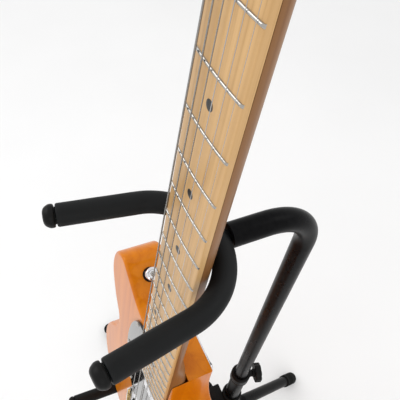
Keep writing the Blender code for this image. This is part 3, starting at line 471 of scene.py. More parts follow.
# ---- materials -----------------------------------------------------------------
class Nodes:
    """Short calls for a material's nodes."""

    def __init__(self, name):
        self.mat = bpy.data.materials.new(name)
        self.mat.use_nodes = True
        self.tree = self.mat.node_tree
        self.shader = self.tree.nodes["Principled BSDF"]

    def set(self, **values):
        for key, value in values.items():
            socket = self.shader.inputs[key.replace("_", " ")]
            socket.default_value = (*value, 1.0) if isinstance(value, tuple) else value
        return self

    def node(self, kind, inputs=None, **settings):
        node = self.tree.nodes.new(kind)
        for key, value in settings.items():
            setattr(node, key, value)
        for key, value in (inputs or {}).items():
            socket = node.inputs[key]
            if isinstance(value, bpy.types.NodeSocket):
                self.tree.links.new(value, socket)
            else:
                socket.default_value = value
        return node

    def coords(self, turn=None, stretch=(1, 1, 1)):
        """Object coordinates, turned into a piece's own frame and stretched."""
        out = self.node("ShaderNodeTexCoord").outputs["Object"]
        if turn is not None:
            inverse = turn.inverted()
            out = self.node("ShaderNodeMapping", {
                "Vector": out, "Location": inverse.to_translation(),
                "Rotation": inverse.to_euler()}).outputs[0]
        if stretch != (1, 1, 1):
            out = self.node("ShaderNodeMapping", {"Vector": out, "Scale": stretch}).outputs[0]
        return out

    def noise(self, vector, scale, detail=4.0, rough=0.55, distortion=0.0):
        return self.node("ShaderNodeTexNoise", {"Vector": vector, "Scale": scale, "Detail": detail,
                                                "Roughness": rough,
                                                "Distortion": distortion}).outputs["Fac"]

    def ramp(self, factor, stops):
        """Colour ramp from (position, colour) stops."""
        node = self.node("ShaderNodeValToRGB", {"Fac": factor})
        ramp = node.color_ramp
        while len(ramp.elements) < len(stops):
            ramp.elements.new(0.5)
        for element, (place, color) in zip(ramp.elements, stops):
            element.position = place
            element.color = (*color, 1.0) if isinstance(color, tuple) else (color, color, color, 1.0)
        return node.outputs["Color"]

    def blend(self, factor, a, b, mode="MIX"):
        node = self.node("ShaderNodeMix", data_type="RGBA", blend_type=mode)
        for socket, value in ((0, factor), (6, a), (7, b)):
            if isinstance(value, bpy.types.NodeSocket):
                self.tree.links.new(value, node.inputs[socket])
            elif isinstance(value, tuple):
                node.inputs[socket].default_value = (*value, 1.0)
            else:
                node.inputs[socket].default_value = value
        return node.outputs[2]

    def to(self, socket, value):
        self.tree.links.new(value, self.shader.inputs[socket])
        return self

    def bump(self, height, strength, distance):
        node = self.node("ShaderNodeBump", {"Height": height, "Strength": strength, "Distance": distance})
        return self.to("Normal", node.outputs[0])


def finish_settings():
    return bpy.context.scene.guitar_finish


def lacquered_body(m):
    """Amber-orange lacquer over close wood grain, under a clear gloss coat."""
    color = tuple(finish_settings().lacquer_color)
    grain = m.noise(m.coords(GUITAR, (55, 55, 3.2)), 1.0, 6.0, 0.6, 0.8)
    broad = m.noise(m.coords(GUITAR, (9, 9, 1.2)), 1.0, 3.0)
    dark = tuple(c * f for c, f in zip(color, (0.80, 0.66, 0.55)))
    light = tuple(min(1.0, c * f) for c, f in zip(color, (1.12, 1.22, 1.6)))
    tone = m.ramp(grain, [(0.32, dark), (0.52, color), (0.74, light)])
    m.to("Base Color", m.blend(m.ramp(broad, [(0.35, 0.0), (0.75, 0.35)]), tone, light))
    m.set(Roughness=0.34, Coat_Weight=0.40, Coat_Roughness=0.06, Coat_IOR=1.40, Specular_IOR_Level=0.12)
    ripple = m.noise(m.coords(GUITAR), 14.0, 2.0)
    m.bump(ripple, 0.10, 0.0006)


def maple(m, base, rough, coat, warm=1.0):
    """Pale maple: fine streaks along the neck, pores and faint cross figure."""
    streaks = m.noise(m.coords(GUITAR, (240, 240, 3)), 1.0, 5.0, 0.66, 0.4)
    bands = m.noise(m.coords(GUITAR, (70, 70, 2.2)), 1.0, 3.0, 0.5, 1.2)
    flame = m.noise(m.coords(GUITAR, (30, 30, 95)), 1.0, 2.0)
    dark = tuple(c * f for c, f in zip(base, (0.66, 0.58 * warm, 0.48)))
    light = tuple(min(1.0, c * f) for c, f in zip(base, (1.08, 1.10, 1.16)))
    tone = m.ramp(streaks, [(0.36, dark), (0.50, base), (0.66, light)])
    tone = m.blend(m.ramp(bands, [(0.38, 0.0), (0.72, 0.45)]), tone, dark)
    tone = m.blend(m.ramp(flame, [(0.40, 0.0), (0.70, 0.16)]), tone, light)
    m.to("Base Color", tone)
    m.set(Roughness=rough, Coat_Weight=coat, Coat_Roughness=0.22, Specular_IOR_Level=0.20)
    m.bump(streaks, 0.12, 0.0002)


def neck_maple(m):
    # Painted shade: the shared maple colour is darkened, more in blue than in red, to stand for the shade
    # on the neck's side, so neck and headstock come out browner than the fretboard.
    color = tuple(c * f for c, f in zip(finish_settings().maple_color, (0.43, 0.32, 0.245)))
    maple(m, color, 0.42, 0.10, 0.96)


def fretboard_maple(m):
    color = tuple(min(1.0, c * 1.08) for c in finish_settings().maple_color)
    maple(m, color, 0.40, 0.25)


def enamel(m):
    """Black enamel on tube, with a faint orange-peel skin."""
    dust = m.noise(m.coords(), 260.0, 3.0)
    m.to("Base Color", m.ramp(dust, [(0.30, (0.002, 0.002, 0.0025)), (0.85, (0.006, 0.006, 0.0065))]))
    m.to("Roughness", m.ramp(m.noise(m.coords(), 35.0), [(0.3, 0.24), (0.7, 0.34)]))
    m.set(Specular_IOR_Level=0.06)
    m.bump(m.noise(m.coords(), 700.0, 2.0), 0.06, 0.0002)


def foam(m):
    """Closed-cell foam sleeve: matt black with a soft sheen and fine cells."""
    cells = m.node("ShaderNodeTexVoronoi", {"Vector": m.coords(), "Scale": 1500.0}).outputs["Distance"]
    skin = m.noise(m.coords(), 90.0, 5.0, 0.6)
    m.to("Base Color", m.ramp(skin, [(0.30, (0.0025, 0.0030, 0.0034)), (0.75, (0.0060, 0.0066, 0.0070))]))
    m.to("Roughness", m.ramp(skin, [(0.35, 0.52), (0.70, 0.66)]))
    m.set(Specular_IOR_Level=0.20)
    joined = m.node("ShaderNodeMath", {0: cells, 1: skin}, operation="ADD").outputs[0]
    m.bump(joined, 0.16, 0.0003)


def moulded(m, base=0.009, rough=0.42, grain=900.0):
    """Moulded black plastic with a fine spark-eroded grain."""
    fine = m.noise(m.coords(), grain, 2.0)
    m.to("Base Color", m.ramp(m.noise(m.coords(), 60.0),
                              [(0.3, (base * 0.8,) * 3), (0.8, (base * 1.3,) * 3)]))
    m.to("Roughness", m.ramp(fine, [(0.3, rough - 0.06), (0.7, rough + 0.08)]))
    m.set(Specular_IOR_Level=0.10)
    m.bump(fine, 0.12, 0.0002)


def cap_plastic(m):
    moulded(m, 0.008, 0.40, 1100.0)


def rubber(m):
    moulded(m, 0.008, 0.72, 600.0)


def gloss_black(m):
    """Polished black sheet, with faint handling marks in its gloss."""
    m.to("Base Color", m.ramp(m.noise(m.coords(), 40.0), [(0.3, (0.008,) * 3), (0.8, (0.014,) * 3)]))
    m.to("Roughness", m.ramp(m.noise(m.coords(GUITAR, (160, 160, 20)), 1.0, 5.0),
                             [(0.35, 0.06), (0.75, 0.14)]))
    m.set(Coat_Weight=0.5, Coat_Roughness=0.04)


def metal(m, color, rough, spread=0.08, stretch=(120, 120, 120)):
    """Polished metal with slight smears and variation in its gloss."""
    marks = m.noise(m.coords(GUITAR, stretch), 1.0, 5.0)
    dim = tuple(c * 0.90 for c in color)
    m.to("Base Color", m.ramp(marks, [(0.30, dim), (0.65, color)]))
    m.to("Roughness", m.ramp(marks, [(0.30, rough + spread), (0.70, rough)]))
    m.set(Metallic=1.0)


def chrome(m):
    metal(m, (0.80, 0.80, 0.82), 0.05, 0.07)


def nickel(m):
    metal(m, (0.46, 0.44, 0.41), 0.16, 0.10, (500, 500, 60))


def steel(m):
    metal(m, (0.58, 0.58, 0.60), 0.26, 0.12)


def brass(m):
    metal(m, (0.78, 0.55, 0.24), 0.20, 0.12)


def plain_string(m):
    metal(m, (0.50, 0.50, 0.51), 0.14, 0.06, (900, 900, 40))


def wound_string(m):
    """Round-wound string: fine turns of wire across its length, with painted shade in the grooves between
    the turns.
    """
    along = m.node("ShaderNodeSeparateXYZ", {0: m.coords(GUITAR)}).outputs["Z"]
    turns = m.node("ShaderNodeMath", {0: along, 1: 2 * pi / 0.00042}, operation="MULTIPLY").outputs[0]
    wave = m.node("ShaderNodeMath", {0: turns}, operation="SINE").outputs[0]
    # Painted shade: the colour darkens where the wave dips into the grooves between turns and lightens on
    # the crowns.
    m.to("Base Color", m.ramp(wave, [(0.0, (0.20, 0.19, 0.18)), (0.6, (0.46, 0.45, 0.43))]))
    m.set(Metallic=1.0, Roughness=0.26)
    m.bump(wave, 0.35, 0.00012)


def bone(m):
    streaks = m.noise(m.coords(GUITAR, (900, 900, 300)), 1.0, 4.0)
    m.to("Base Color", m.ramp(streaks, [(0.3, (0.66, 0.61, 0.49)), (0.7, (0.82, 0.79, 0.70))]))
    m.set(Roughness=0.36, Subsurface_Weight=0.1)


def ink(m):
    """Black inlay and slot filler."""
    m.to("Base Color", m.ramp(m.noise(m.coords(), 300.0), [(0.3, (0.010,) * 3), (0.8, (0.022,) * 3)]))
    m.set(Roughness=0.35)


def floor_paint(m):
    cloud = m.noise(m.coords(), 1.3, 3.0)
    m.to("Base Color", m.ramp(cloud, [(0.3, (0.86, 0.86, 0.86)), (0.7, (0.90, 0.90, 0.90))]))
    m.set(Roughness=0.6)


RECIPES = {recipe.__name__: recipe for recipe in (
    lacquered_body, neck_maple, fretboard_maple, enamel, foam, moulded, cap_plastic, rubber, gloss_black,
    chrome, nickel, steel, brass, plain_string, wound_string, bone, ink, floor_paint)}


def material(name):
    """The named material, made the first time it is asked for."""
    ready = bpy.data.materials.get("look_" + name)
    if ready is not None:
        return ready
    made = Nodes("look_" + name)
    RECIPES[name](made)
    return made.mat


# ---- guitar geometry shared by several pieces --------------------------------------
def fret_place(number):
    return SCALE * (1 - 2 ** (-number / 12))


BOARD_END = fret_place(FRET_COUNT) + 0.0055


def neck_half(s):
    return lerp(NUT_WIDTH, HEEL_WIDTH, s / BOARD_END) / 2


def crown(x):
    return BOARD_RADIUS - sqrt(BOARD_RADIUS ** 2 - x * x)


def body_outline(per_span):
    heel = neck_half(NECK_JOINT) + 0.0009
    points = [(-heel, 0.3975, True), (-0.058, 0.3955), (-0.084, 0.3825), (-0.107, 0.3720),
              (-0.127, 0.3900), (-0.134, 0.4270), (-0.124, 0.4690), (-0.108, 0.5050),
              (-0.113, 0.5430), (-0.138, 0.5850), (-0.154, 0.6350), (-0.151, 0.6900),
              (-0.127, 0.7400), (-0.083, 0.7720), (0.0, 0.7860), (0.083, 0.7720),
              (0.127, 0.7400), (0.151, 0.6900), (0.154, 0.6350), (0.138, 0.5850),
              (0.113, 0.5430), (0.108, 0.5050), (0.123, 0.4690), (0.131, 0.4300),
              (0.121, 0.4060), (0.103, 0.4040), (0.088, 0.4230), (0.068, 0.4440),
              (0.044, 0.4450), (0.0315, 0.4280), (heel, 0.3985, True)]
    return [(x, -s) for x, s in smooth_loop(points, per_span)]


def post_places():
    x, z = TUNER_FIRST
    rise = sqrt(TUNER_PITCH ** 2 - TUNER_STEP ** 2)
    return [(x + TUNER_STEP * k, z + rise * k) for k in range(TUNERS)]


def screw_head(radius, height):
    """Domed screw head with a round recess, its underside at z = 0."""
    bm = lathe([(0, 0), (radius, 0), (radius, height * 0.25), (radius * 0.86, height * 0.62),
                (radius * 0.60, height * 0.90), (radius * 0.34, height), (radius * 0.20, height * 0.45),
                (0, height * 0.40)], 20)
    return bm


def screws(places, radius, height, way):
    """Screw heads at places, all pointing the same way, in the guitar's frame."""
    return gathered([(screw_head(radius, height), Matrix.Translation(place) @ way) for place in places])


BACKWARD = Matrix.Rotation(-pi / 2, 4, "X")      # local Z points out of the back


# ---- guitar pieces -----------------------------------------------------------------
def guitar_body():
    bm = prism(body_outline(9), BODY_FRONT, BODY_BACK)
    size = bpy.context.scene.guitar_sizes
    soften(bm, size.edge_round, 5, radians(60),
           lambda e: abs((e.verts[0].co - e.verts[1].co).normalized().y) < 0.5)
    settle(bm)
    half, half_end = neck_half(NECK_JOINT) + GAP, neck_half(BOARD_END) + GAP
    end = BOARD_END + GAP
    pocket = prism([(-half, -NECK_JOINT + 0.020), (-half_end, -end), (half_end, -end),
                    (half, -NECK_JOINT + 0.020)], -0.010, HEEL_BACK + GAP)
    cuts = [pocket, window(NECK_PICKUP, 0.002, 0.026), window(BRIDGE_PICKUP, 0.002, 0.028, PICKUP_SLANT)]
    bm = carve(bm, cuts)
    as_piece("body_shell", bm, "lacquered_body", "guitar", ["guitar_body"], GUITAR)
    holes = [(lerp(-0.5, 0.5, k / 5) * size.bridge_spread, BODY_BACK, -0.6625) for k in range(TUNERS)]
    eyelet = turned([(0.0016, -0.004), (0.0036, -0.004), (0.0036, 0.0), (0.0046, 0.0), (0.0046, 0.0008),
                     (0.0040, 0.0013), (0.0016, 0.0013)], 0.0003, 24)
    parts = [(eyelet.copy(), Matrix.Translation(hole) @ BACKWARD) for hole in holes]
    eyelet.free()
    as_piece("string_ferrules", gathered(parts), "nickel", "guitar", place=GUITAR)


def window(pickup, margin, depth, turn=0.0, radius=0.004, low=-0.010):
    """Straight-sided hole for a pickup."""
    a, s, half_a, half_s = pickup
    bm = prism(rounded_outline(half_a + margin, half_s + margin, radius), low, depth)
    bm.transform(Matrix.Translation((a, 0, -s)) @ Matrix.Rotation(turn, 4, "Y"))
    return bm


def neck_ring(s, back, square, steps=28):
    """D-shaped section, flat where the fretboard lies.  square 0 to 1 goes from blocky to round."""
    half, top = neck_half(max(s, 0.0)), BOARD_THICKNESS + GAP
    power = lerp(0.18, 1.0, square)
    ring = []
    for k in range(steps + 1):
        x, y = cos(pi * k / steps), sin(pi * k / steps)
        side = 1 if x > 0 else -1
        px = abs(x) ** power * side if abs(x) > 1e-9 else 0.0
        py = abs(y) ** power if abs(y) > 1e-9 else 0.0
        ring.append(Vector((half * px, lerp(top + 0.0006, back, py), -s)))
    return ring + [Vector((-half, top, -s)), Vector((half, top, -s))]


def head_outline(per_span):
    half = NUT_WIDTH / 2
    outline = smooth_loop([(-half, 0.006, True), (-half - 0.0005, 0.012), (-0.0300, 0.0210),
                           (-0.0365, 0.0320), (-0.0330, 0.0600), (-0.0130, 0.1360),
                           (-0.0050, 0.1640), (0.0050, 0.1830), (0.0230, 0.1840),
                           (0.0330, 0.1700), (0.0340, 0.1450), (0.0285, 0.0900),
                           (0.0235, 0.0400), (half + 0.0012, 0.0180), (half, 0.006, True)], per_span)
    return outline + [(half, -0.0045), (-half, -0.0045)]


def neck():
    """Neck and headstock in one piece, with a scooped step behind the nut."""
    heel = NECK_JOINT + 0.003
    keys = [(-0.004, NECK_BACK_NUT, 1.0), (0.030, NECK_BACK_NUT + 0.0002, 1.0),
            (0.210, lerp(NECK_BACK_NUT, NECK_BACK_HEEL, 0.53), 1.0),
            (NECK_JOINT - 0.035, NECK_BACK_HEEL, 1.0),
            (NECK_JOINT - 0.006, HEEL_BACK, 0.35), (heel, HEEL_BACK, 0.12), (BOARD_END, HEEL_BACK, 0.12)]
    rings = [neck_ring(*keys[0])]
    for near, far in zip(keys, keys[1:]):
        for i in range(1, 9):
            t = i / 8
            rings.append(neck_ring(lerp(near[0], far[0], t), lerp(near[1], far[1], ease(t)),
                                   lerp(near[2], far[2], ease(t))))
    bm = ring_loft(rings)
    bm = carve(bm, [prism(head_outline(9), BOARD_THICKNESS + GAP, HEAD_BACK)], "UNION")
    scoop = [(-0.02, 0.0035), (0.0056, 0.0035), (0.0062, 0.0048), (0.0072, 0.0075), (0.0081, 0.0110),
             (0.0087, 0.0150), (HEAD_FRONT, 0.0200), (HEAD_FRONT, 0.25), (-0.02, 0.25)]
    wedge = [(NECK_BACK_NUT, -0.0060), (NECK_BACK_NUT + 0.0006, 0.0040), (HEAD_BACK - 0.0003, 0.0200),
             (HEAD_BACK, 0.0260), (0.03, 0.0260), (0.03, -0.0060)]
    bm = carve(bm, [prism(scoop, -0.06, 0.06, "X"), prism(wedge, -0.06, 0.06, "X")])
    for depth in (HEAD_FRONT, HEAD_BACK):
        soften(bm, 0.0013, 3, radians(60), lambda e: all(
            abs(v.co.y - depth) < 1e-5 and v.co.z > 0.0195 for v in e.verts))
    settle(bm, 0.0004, 24)
    drills = []
    for x, z in post_places():
        drill = lathe([(0, -0.01), (POST_RADIUS + 0.0006, -0.01), (POST_RADIUS + 0.0006, 0.03),
                       (0, 0.03)], 32)
        drill.transform(Matrix.Translation((x, HEAD_FRONT, z)) @ BACKWARD)
        drills.append(drill)
    bm = carve(bm, drills)
    as_piece("neck_and_head", bm, "neck_maple", "guitar", ["neck"], GUITAR)


def board_ring(s, steps=20):
    """Section of the fretboard: crowned top with eased edges."""
    half, edge = neck_half(s), 0.0009
    ring = []
    for k in range(steps + 1):
        x = lerp(-half + edge, half - edge, k / steps)
        ring.append(Vector((x, crown(x), -s)))
    for angle in (30, 60, 90):
        x = half - edge + edge * sin(radians(angle))
        ring.append(Vector((x, crown(half - edge) + edge * (1 - cos(radians(angle))), -s)))
    ring += [Vector((half, BOARD_THICKNESS, -s)), Vector((-half, BOARD_THICKNESS, -s))]
    for angle in (90, 60, 30):
        x = -half + edge - edge * sin(radians(angle))
        ring.append(Vector((x, crown(half - edge) + edge * (1 - cos(radians(angle))), -s)))
    return ring


def fretboard():
    count = 48
    bm = ring_loft([board_ring(BOARD_END * i / count) for i in range(count + 1)])
    as_piece("fretboard_slab", bm, "fretboard_maple", "guitar", ["fretboard"], GUITAR)


def fret(s, width, height):
    """One fret: crowned wire across the board, with dressed ends."""
    half = neck_half(s) - 0.0001
    ends = [(0.0, 0.10), (0.0003, 0.45), (0.0008, 0.86), (0.0014, 1.0)]
    stations = [(-half + x, h) for x, h in ends]
    stations += [(lerp(-half + 0.0014, half - 0.0014, k / 10), 1.0) for k in range(1, 10)]
    stations += [(half - x, h) for x, h in reversed(ends)]
    rings = []
    for x, share in stations:
        ring = []
        for k in range(9):
            angle = pi * k / 8
            ring.append(Vector((x, crown(x) - height * share * sin(angle) ** 0.75 - 0.00002,
                                -s + cos(angle) * width / 2)))
        ring += [Vector((x, crown(x) + 0.0006, -s - width / 2)),
                 Vector((x, crown(x) + 0.0006, -s + width / 2))]
        rings.append(ring)
    return ring_loft(rings)


def frets():
    size = bpy.context.scene.guitar_sizes
    parts = [(fret(fret_place(n), size.fret_width, size.fret_height), None)
             for n in range(1, FRET_COUNT + 1)]
    as_piece("frets", gathered(parts), "nickel", "guitar", place=GUITAR)


def markers():
    """Round inlays in the board's face and along its bass edge."""
    size = bpy.context.scene.guitar_sizes
    face = turned([(0, -0.0006), (size.dot_size / 2, -0.0006), (size.dot_size / 2, 0.00004),
                   (0, 0.00006)],
                  0.00003, 36)
    side = turned([(0, -0.0006), (0.0010, -0.0006), (0.0010, 0.00005), (0, 0.00006)], 0.00003, 20)
    parts = []
    for number in (3, 5, 7, 9, 12, 15, 17, 19, 21):
        s = (fret_place(number) + fret_place(number - 1)) / 2
        for x in ((-0.0125, 0.0125) if number == 12 else (0.0,)):
            parts.append((face.copy(), Matrix.Translation((x, crown(x), -s)) @ FRONTWARD))
        for step in ((-0.004, 0.004) if number == 12 else (0.0,)):
            place = axes_at((-neck_half(s + step), 0.0028, -s - step), (-1, 0, 0), (0, 0, 1))
            parts.append((side.copy(), place))
    face.free()
    side.free()
    as_piece("position_dots", gathered(parts), "ink", "guitar", place=GUITAR)


def string_specs():
    """Radius, place across at the nut and at the bridge, and finish of each string."""
    size = bpy.context.scene.guitar_sizes
    radii = (0.00058, 0.00046, 0.00033, 0.00022, 0.000165, 0.00013)
    for k, radius in enumerate(radii):
        share = k / (TUNERS - 1) - 0.5
        yield k, radius, share * size.nut_spread, share * size.bridge_spread, k < 3


def nut():
    """Bone nut with a crowned, rounded top and a slot for each string."""
    half, top = NUT_WIDTH / 2 - 0.0003, -0.0018
    rings = []
    count = 24
    for i in range(count + 1):
        x = lerp(-half, half, i / count)
        drop = crown(x) + (0.0006 if i in (0, count) else 0.0)
        rings.append([Vector((x, y, z)) for y, z in (
            (0.0052, GAP), (0.0052, 0.0030 + GAP), (top + 0.0012 + drop, 0.0030 + GAP),
            (top + 0.0004 + drop, 0.0026 + GAP), (top + drop, 0.0018 + GAP), (top + drop, 0.0006 + GAP),
            (top + 0.0003 + drop, GAP))])
    slots = []
    for _, radius, x, _, _ in string_specs():
        slot = lathe([(0, -0.01), (radius * 1.15, -0.01), (radius * 1.15, 0.01), (0, 0.01)], 16)
        slot.transform(Matrix.Translation((x, nut_depth(x, radius), 0)))
        wide = block((radius * 2.3, 0.003, 0.02), (x, nut_depth(x, radius) - 0.0015, 0))
        slots += [slot, wide]
    as_piece("slotted_nut", carve(ring_loft(rings), slots), "bone", "guitar", ["nut"], GUITAR)


def nut_depth(x, radius):
    return crown(x) - 0.0010 - radius


def winding_radius(radius):
    return POST_RADIUS - 0.0006 + radius


def string_routes():
    """Each string's route from inside the body, over its saddle and the nut, to its post."""
    floor = FACE - PLATE
    for k, radius, nut_x, bridge_x, wound in string_specs():
        saddle_z = -SCALE - 0.002 * (1 - k // 2)
        saddle_y = floor - GAP - SADDLE_RADIUS
        around = SADDLE_RADIUS + radius
        route = [Vector((bridge_x, floor + 0.006, saddle_z - 0.0150)),
                 Vector((bridge_x, floor - 0.0004, saddle_z - 0.0146))]
        for angle in (-62, -52, -42, -32, -22, -12, -2):
            route.append(Vector((bridge_x, saddle_y - around * cos(radians(angle)),
                                 saddle_z + around * sin(radians(angle)))))
        route.append(Vector((nut_x, nut_depth(nut_x, radius), 0.0005)))
        route.append(Vector((nut_x, nut_depth(nut_x, radius) + 0.0002, 0.0034)))
        if k >= TUNERS - 2:
            guide_x = 0.0150 + (0.0034 if k == TUNERS - 1 else -0.0034)
            route.append(Vector((guide_x, HEAD_FRONT - GAP - 0.0036, 0.0760)))
        post = Vector((post_places()[k][0], 0, post_places()[k][1]))
        way = post - Vector((route[-1].x, 0, route[-1].z))
        way.normalize()
        side = Vector((way.z, 0, -way.x))
        depth = HEAD_FRONT - POST_PROUD + 0.0036
        meet = post + side * winding_radius(radius)
        route.append(Vector((meet.x, depth, meet.z)))
        yield k, radius, wound, route, post, way, side, depth


def strings():
    for k, radius, wound, route, post, way, side, depth in string_routes():
        finish = "wound_string" if wound else "plain_string"
        bm = swept(dense(route, 0.02), radius, 10)
        as_piece("string_%d" % (k + 1), bm, finish, "guitar", place=GUITAR)
        turns = (2.2, 2.6, 3.2, 3.8, 4.4, 5.0)[k]
        coil = []
        for i in range(int(turns * 20) + 1):
            angle = 2 * pi * i / 20
            round_post = side * cos(angle) + way * sin(angle)
            spot = post + round_post * winding_radius(radius)
            coil.append(Vector((spot.x, depth + 2.1 * radius * i / 20, spot.z)))
        bm = swept(coil, radius, 8)
        as_piece("string_wrap_%d" % (k + 1), bm, finish, "tuner_post_%d" % (k + 1),
                 place=GUITAR)


def pickguard():
    half = neck_half(NECK_JOINT) + 0.0012
    half_end, end = neck_half(BOARD_END) + 0.0008, BOARD_END + 0.0010
    guard = smooth_loop([(-half, 0.4035, True), (-0.0440, 0.4045), (-0.0570, 0.4200),
                         (-0.0660, 0.4500), (-0.0700, 0.4900), (-0.0660, 0.5300),
                         (-0.0560, 0.5600), (-0.0440, BRIDGE_TOP - 0.001, True),
                         (0.0440, BRIDGE_TOP - 0.001, True), (0.0640, 0.5740),
                         (0.0800, 0.5580, True), (0.0960, 0.5500, True), (0.1020, 0.5200),
                         (0.1060, 0.4850), (0.0980, 0.4580), (0.0780, 0.4500),
                         (0.0500, 0.4520), (0.0360, 0.4440), (half_end, 0.4320, True),
                         (half_end, end, True), (-half_end, end, True)], 9)
    bm = prism([(x, -s) for x, s in guard], FACE - GUARD, FACE)
    soften(bm, 0.0009, 2, radians(60), lambda e: all(abs(v.co.y - FACE + GUARD) < 1e-6 for v in e.verts))
    settle(bm, 0.0003)
    bm = carve(bm, [window(NECK_PICKUP, 0.0008, 0.02)])
    as_piece("pickguard_sheet", bm, "gloss_black", "guitar", ["pickguard"], GUITAR)
    spots = [(-0.0480, 0.4100), (-0.0645, 0.4880), (-0.0490, 0.5640), (0.0, 0.5770), (0.0480, 0.5760),
             (0.0880, 0.5475), (0.0995, 0.4880), (0.0520, 0.4580)]
    bm = screws([(x, FACE - GUARD, -s) for x, s in spots], 0.0029, 0.0013, FRONTWARD)
    as_piece("pickguard_screws", bm, "nickel", "guitar", place=GUITAR)


def pickups():
    a, s, half_a, half_s = NECK_PICKUP
    bm = prism(rounded_outline(half_a, half_s, 0.0055, 10), 0.0030, 0.0200)
    soften(bm, 0.0017, 5, radians(60), lambda e: all(v.co.y < 0.0031 for v in e.verts))
    settle(bm, 0.0006)
    bm.transform(Matrix.Translation((a, 0, -s)))
    as_piece("neck_pickup_cover", bm, "chrome", "guitar", ["neck_pickup"], GUITAR)
    sides = [(side * (half_a + 0.0048), FACE - GUARD, -s) for side in (-1, 1)]
    as_piece("neck_pickup_screws", screws(sides, 0.0025, 0.0013, FRONTWARD), "nickel", "guitar",
             place=GUITAR)

    a, s, half_a, half_s = BRIDGE_PICKUP
    slant = Matrix.Translation((a, 0, -s)) @ Matrix.Rotation(PICKUP_SLANT, 4, "Y")
    bobbin = prism(rounded_outline(half_a, half_s, 0.0075, 10), 0.0028, 0.0200)
    soften(bobbin, 0.0005, 2, radians(60))
    settle(bobbin, 0.0004)
    as_piece("bridge_pickup_bobbin", bobbin, "moulded", "guitar", ["bridge_pickup"],
             GUITAR @ slant)
    pole = turned([(0, -0.004), (0.0024, -0.004), (0.0024, 0.0005), (0, 0.0006)], 0.0002, 24)
    spread = bpy.context.scene.guitar_sizes.bridge_spread / cos(PICKUP_SLANT) * 0.96
    parts = [(pole.copy(), Matrix.Translation((spread * (k / 5 - 0.5), 0.0028, 0)) @ FRONTWARD)
             for k in range(TUNERS)]
    pole.free()
    as_piece("pole_pieces", gathered(parts), "steel", "guitar", place=GUITAR @ slant)


def bridge():
    lip, floor = 0.0016, FACE - PLATE
    section = [(-BRIDGE_HALF, FACE), (BRIDGE_HALF, FACE), (BRIDGE_HALF, FACE - 0.009),
               (BRIDGE_HALF - lip, FACE - 0.009), (BRIDGE_HALF - lip, floor),
               (-BRIDGE_HALF + lip, floor), (-BRIDGE_HALF + lip, FACE - 0.009),
               (-BRIDGE_HALF, FACE - 0.009)]
    tray = prism(section, -BRIDGE_END, -BRIDGE_TOP, "Z")
    rear = block((2 * BRIDGE_HALF - 0.0004, 0.0086, lip),
                 (0, FACE - 0.0046, -BRIDGE_END + lip / 2 + 0.0002))
    tray = carve(tray, [rear], "UNION")
    soften(tray, 0.0004, 2, radians(60))
    tray = carve(tray, [window(BRIDGE_PICKUP, 0.001, 0.02, PICKUP_SLANT, 0.0080)])
    as_piece("bridge_tray", tray, "chrome", "guitar", ["bridge_plate"], GUITAR)

    spots = [(-0.0360, 0.5885), (0.0360, 0.5885), (-0.0345, 0.6625), (0.0, 0.6625), (0.0345, 0.6625)]
    bm = screws([(x, floor, -s) for x, s in spots], 0.0030, 0.0015, FRONTWARD)
    as_piece("bridge_screws", bm, "nickel", "guitar", place=GUITAR)

    centre_y = floor - GAP - SADDLE_RADIUS
    for j, label in enumerate(("bass", "middle", "treble")):
        at = Vector(((j - 1) * 0.0245, centre_y, -SCALE - 0.002 * (1 - j)))
        barrel = turned([(0, -0.0118), (SADDLE_RADIUS, -0.0118), (SADDLE_RADIUS, 0.0118), (0, 0.0118)],
                        0.0006, 40)
        as_piece("saddle_barrel_" + label, barrel, "brass", "guitar", ["saddle_" + label],
                 GUITAR @ Matrix.Translation(at) @ Matrix.Rotation(pi / 2, 4, "Y"))
        stud = carve(turned([(0, 0.0), (0.0014, 0.0), (0.0014, 0.0092), (0, 0.0092)], 0.0002, 20),
                     [block((0.004, 0.0005, 0.0016), (0, 0, 0.0092))])
        parts = [(stud.copy(), Matrix.Translation((at.x + x, floor, at.z)) @ FRONTWARD)
                 for x in (-0.0095, 0.0095)]
        stud.free()
        reach = BRIDGE_END + at.z
        screw_y = centre_y + 0.0002
        rod = turned([(0, -0.0022), (0.0024, -0.0022), (0.0024, -0.0004), (0.0012, 0.0),
                      (0.0012, reach - 0.002), (0, reach - 0.002)], 0.0003, 20)
        parts.append((rod, Matrix.Translation((at.x, screw_y, -BRIDGE_END))))
        coil = []
        turns, start, end = 9, -BRIDGE_END + lip + 0.0004, at.z - SADDLE_RADIUS - 0.0004
        for i in range(turns * 14 + 1):
            angle = 2 * pi * i / 14
            coil.append(Vector((at.x + 0.0020 * cos(angle), screw_y + 0.0020 * sin(angle),
                                lerp(start, end, i / (turns * 14)))))
        parts.append((swept(coil, 0.00028, 7), None))
        as_piece("saddle_hardware_" + label, gathered(parts), "steel", "guitar", place=GUITAR)


def control_plate():
    half_a, half_s = CONTROL_HALF
    floor = FACE - PLATE
    bm = prism(rounded_outline(half_a, half_s, half_a * 0.98, 16), floor, FACE)
    soften(bm, 0.0006, 3, radians(60), lambda e: all(v.co.y < floor + 1e-5 for v in e.verts))
    settle(bm, 0.0003)
    bm.transform(Matrix.Translation((CONTROL_ACROSS, 0, -CONTROL_MIDDLE)))
    slot = window((CONTROL_ACROSS, LEVER_PLACE, 0.0028, 0.0105), 0.0, 0.02, 0.0, 0.0025)
    bm = carve(bm, [slot])
    as_piece("control_plate_cover", bm, "chrome", "guitar", ["control_plate"], GUITAR)
    spots = [(CONTROL_ACROSS, floor, -CONTROL_MIDDLE + side * (half_s - 0.0062)) for side in (-1, 1)]
    spots += [(CONTROL_ACROSS, floor, -LEVER_PLACE + side * 0.0150) for side in (-1, 1)]
    as_piece("control_screws", screws(spots[:2] + spots[3:], 0.0029, 0.0013, FRONTWARD), "nickel",
             "guitar",
             place=GUITAR)


def toothed(radius, teeth, depth):
    out = []
    for k in range(teeth):
        for turn, r in ((0.0, radius), (0.38, radius), (0.55, radius - depth), (0.83, radius - depth)):
            angle = 2 * pi * (k + turn) / teeth
            out.append((r * cos(angle), r * sin(angle)))
    return out


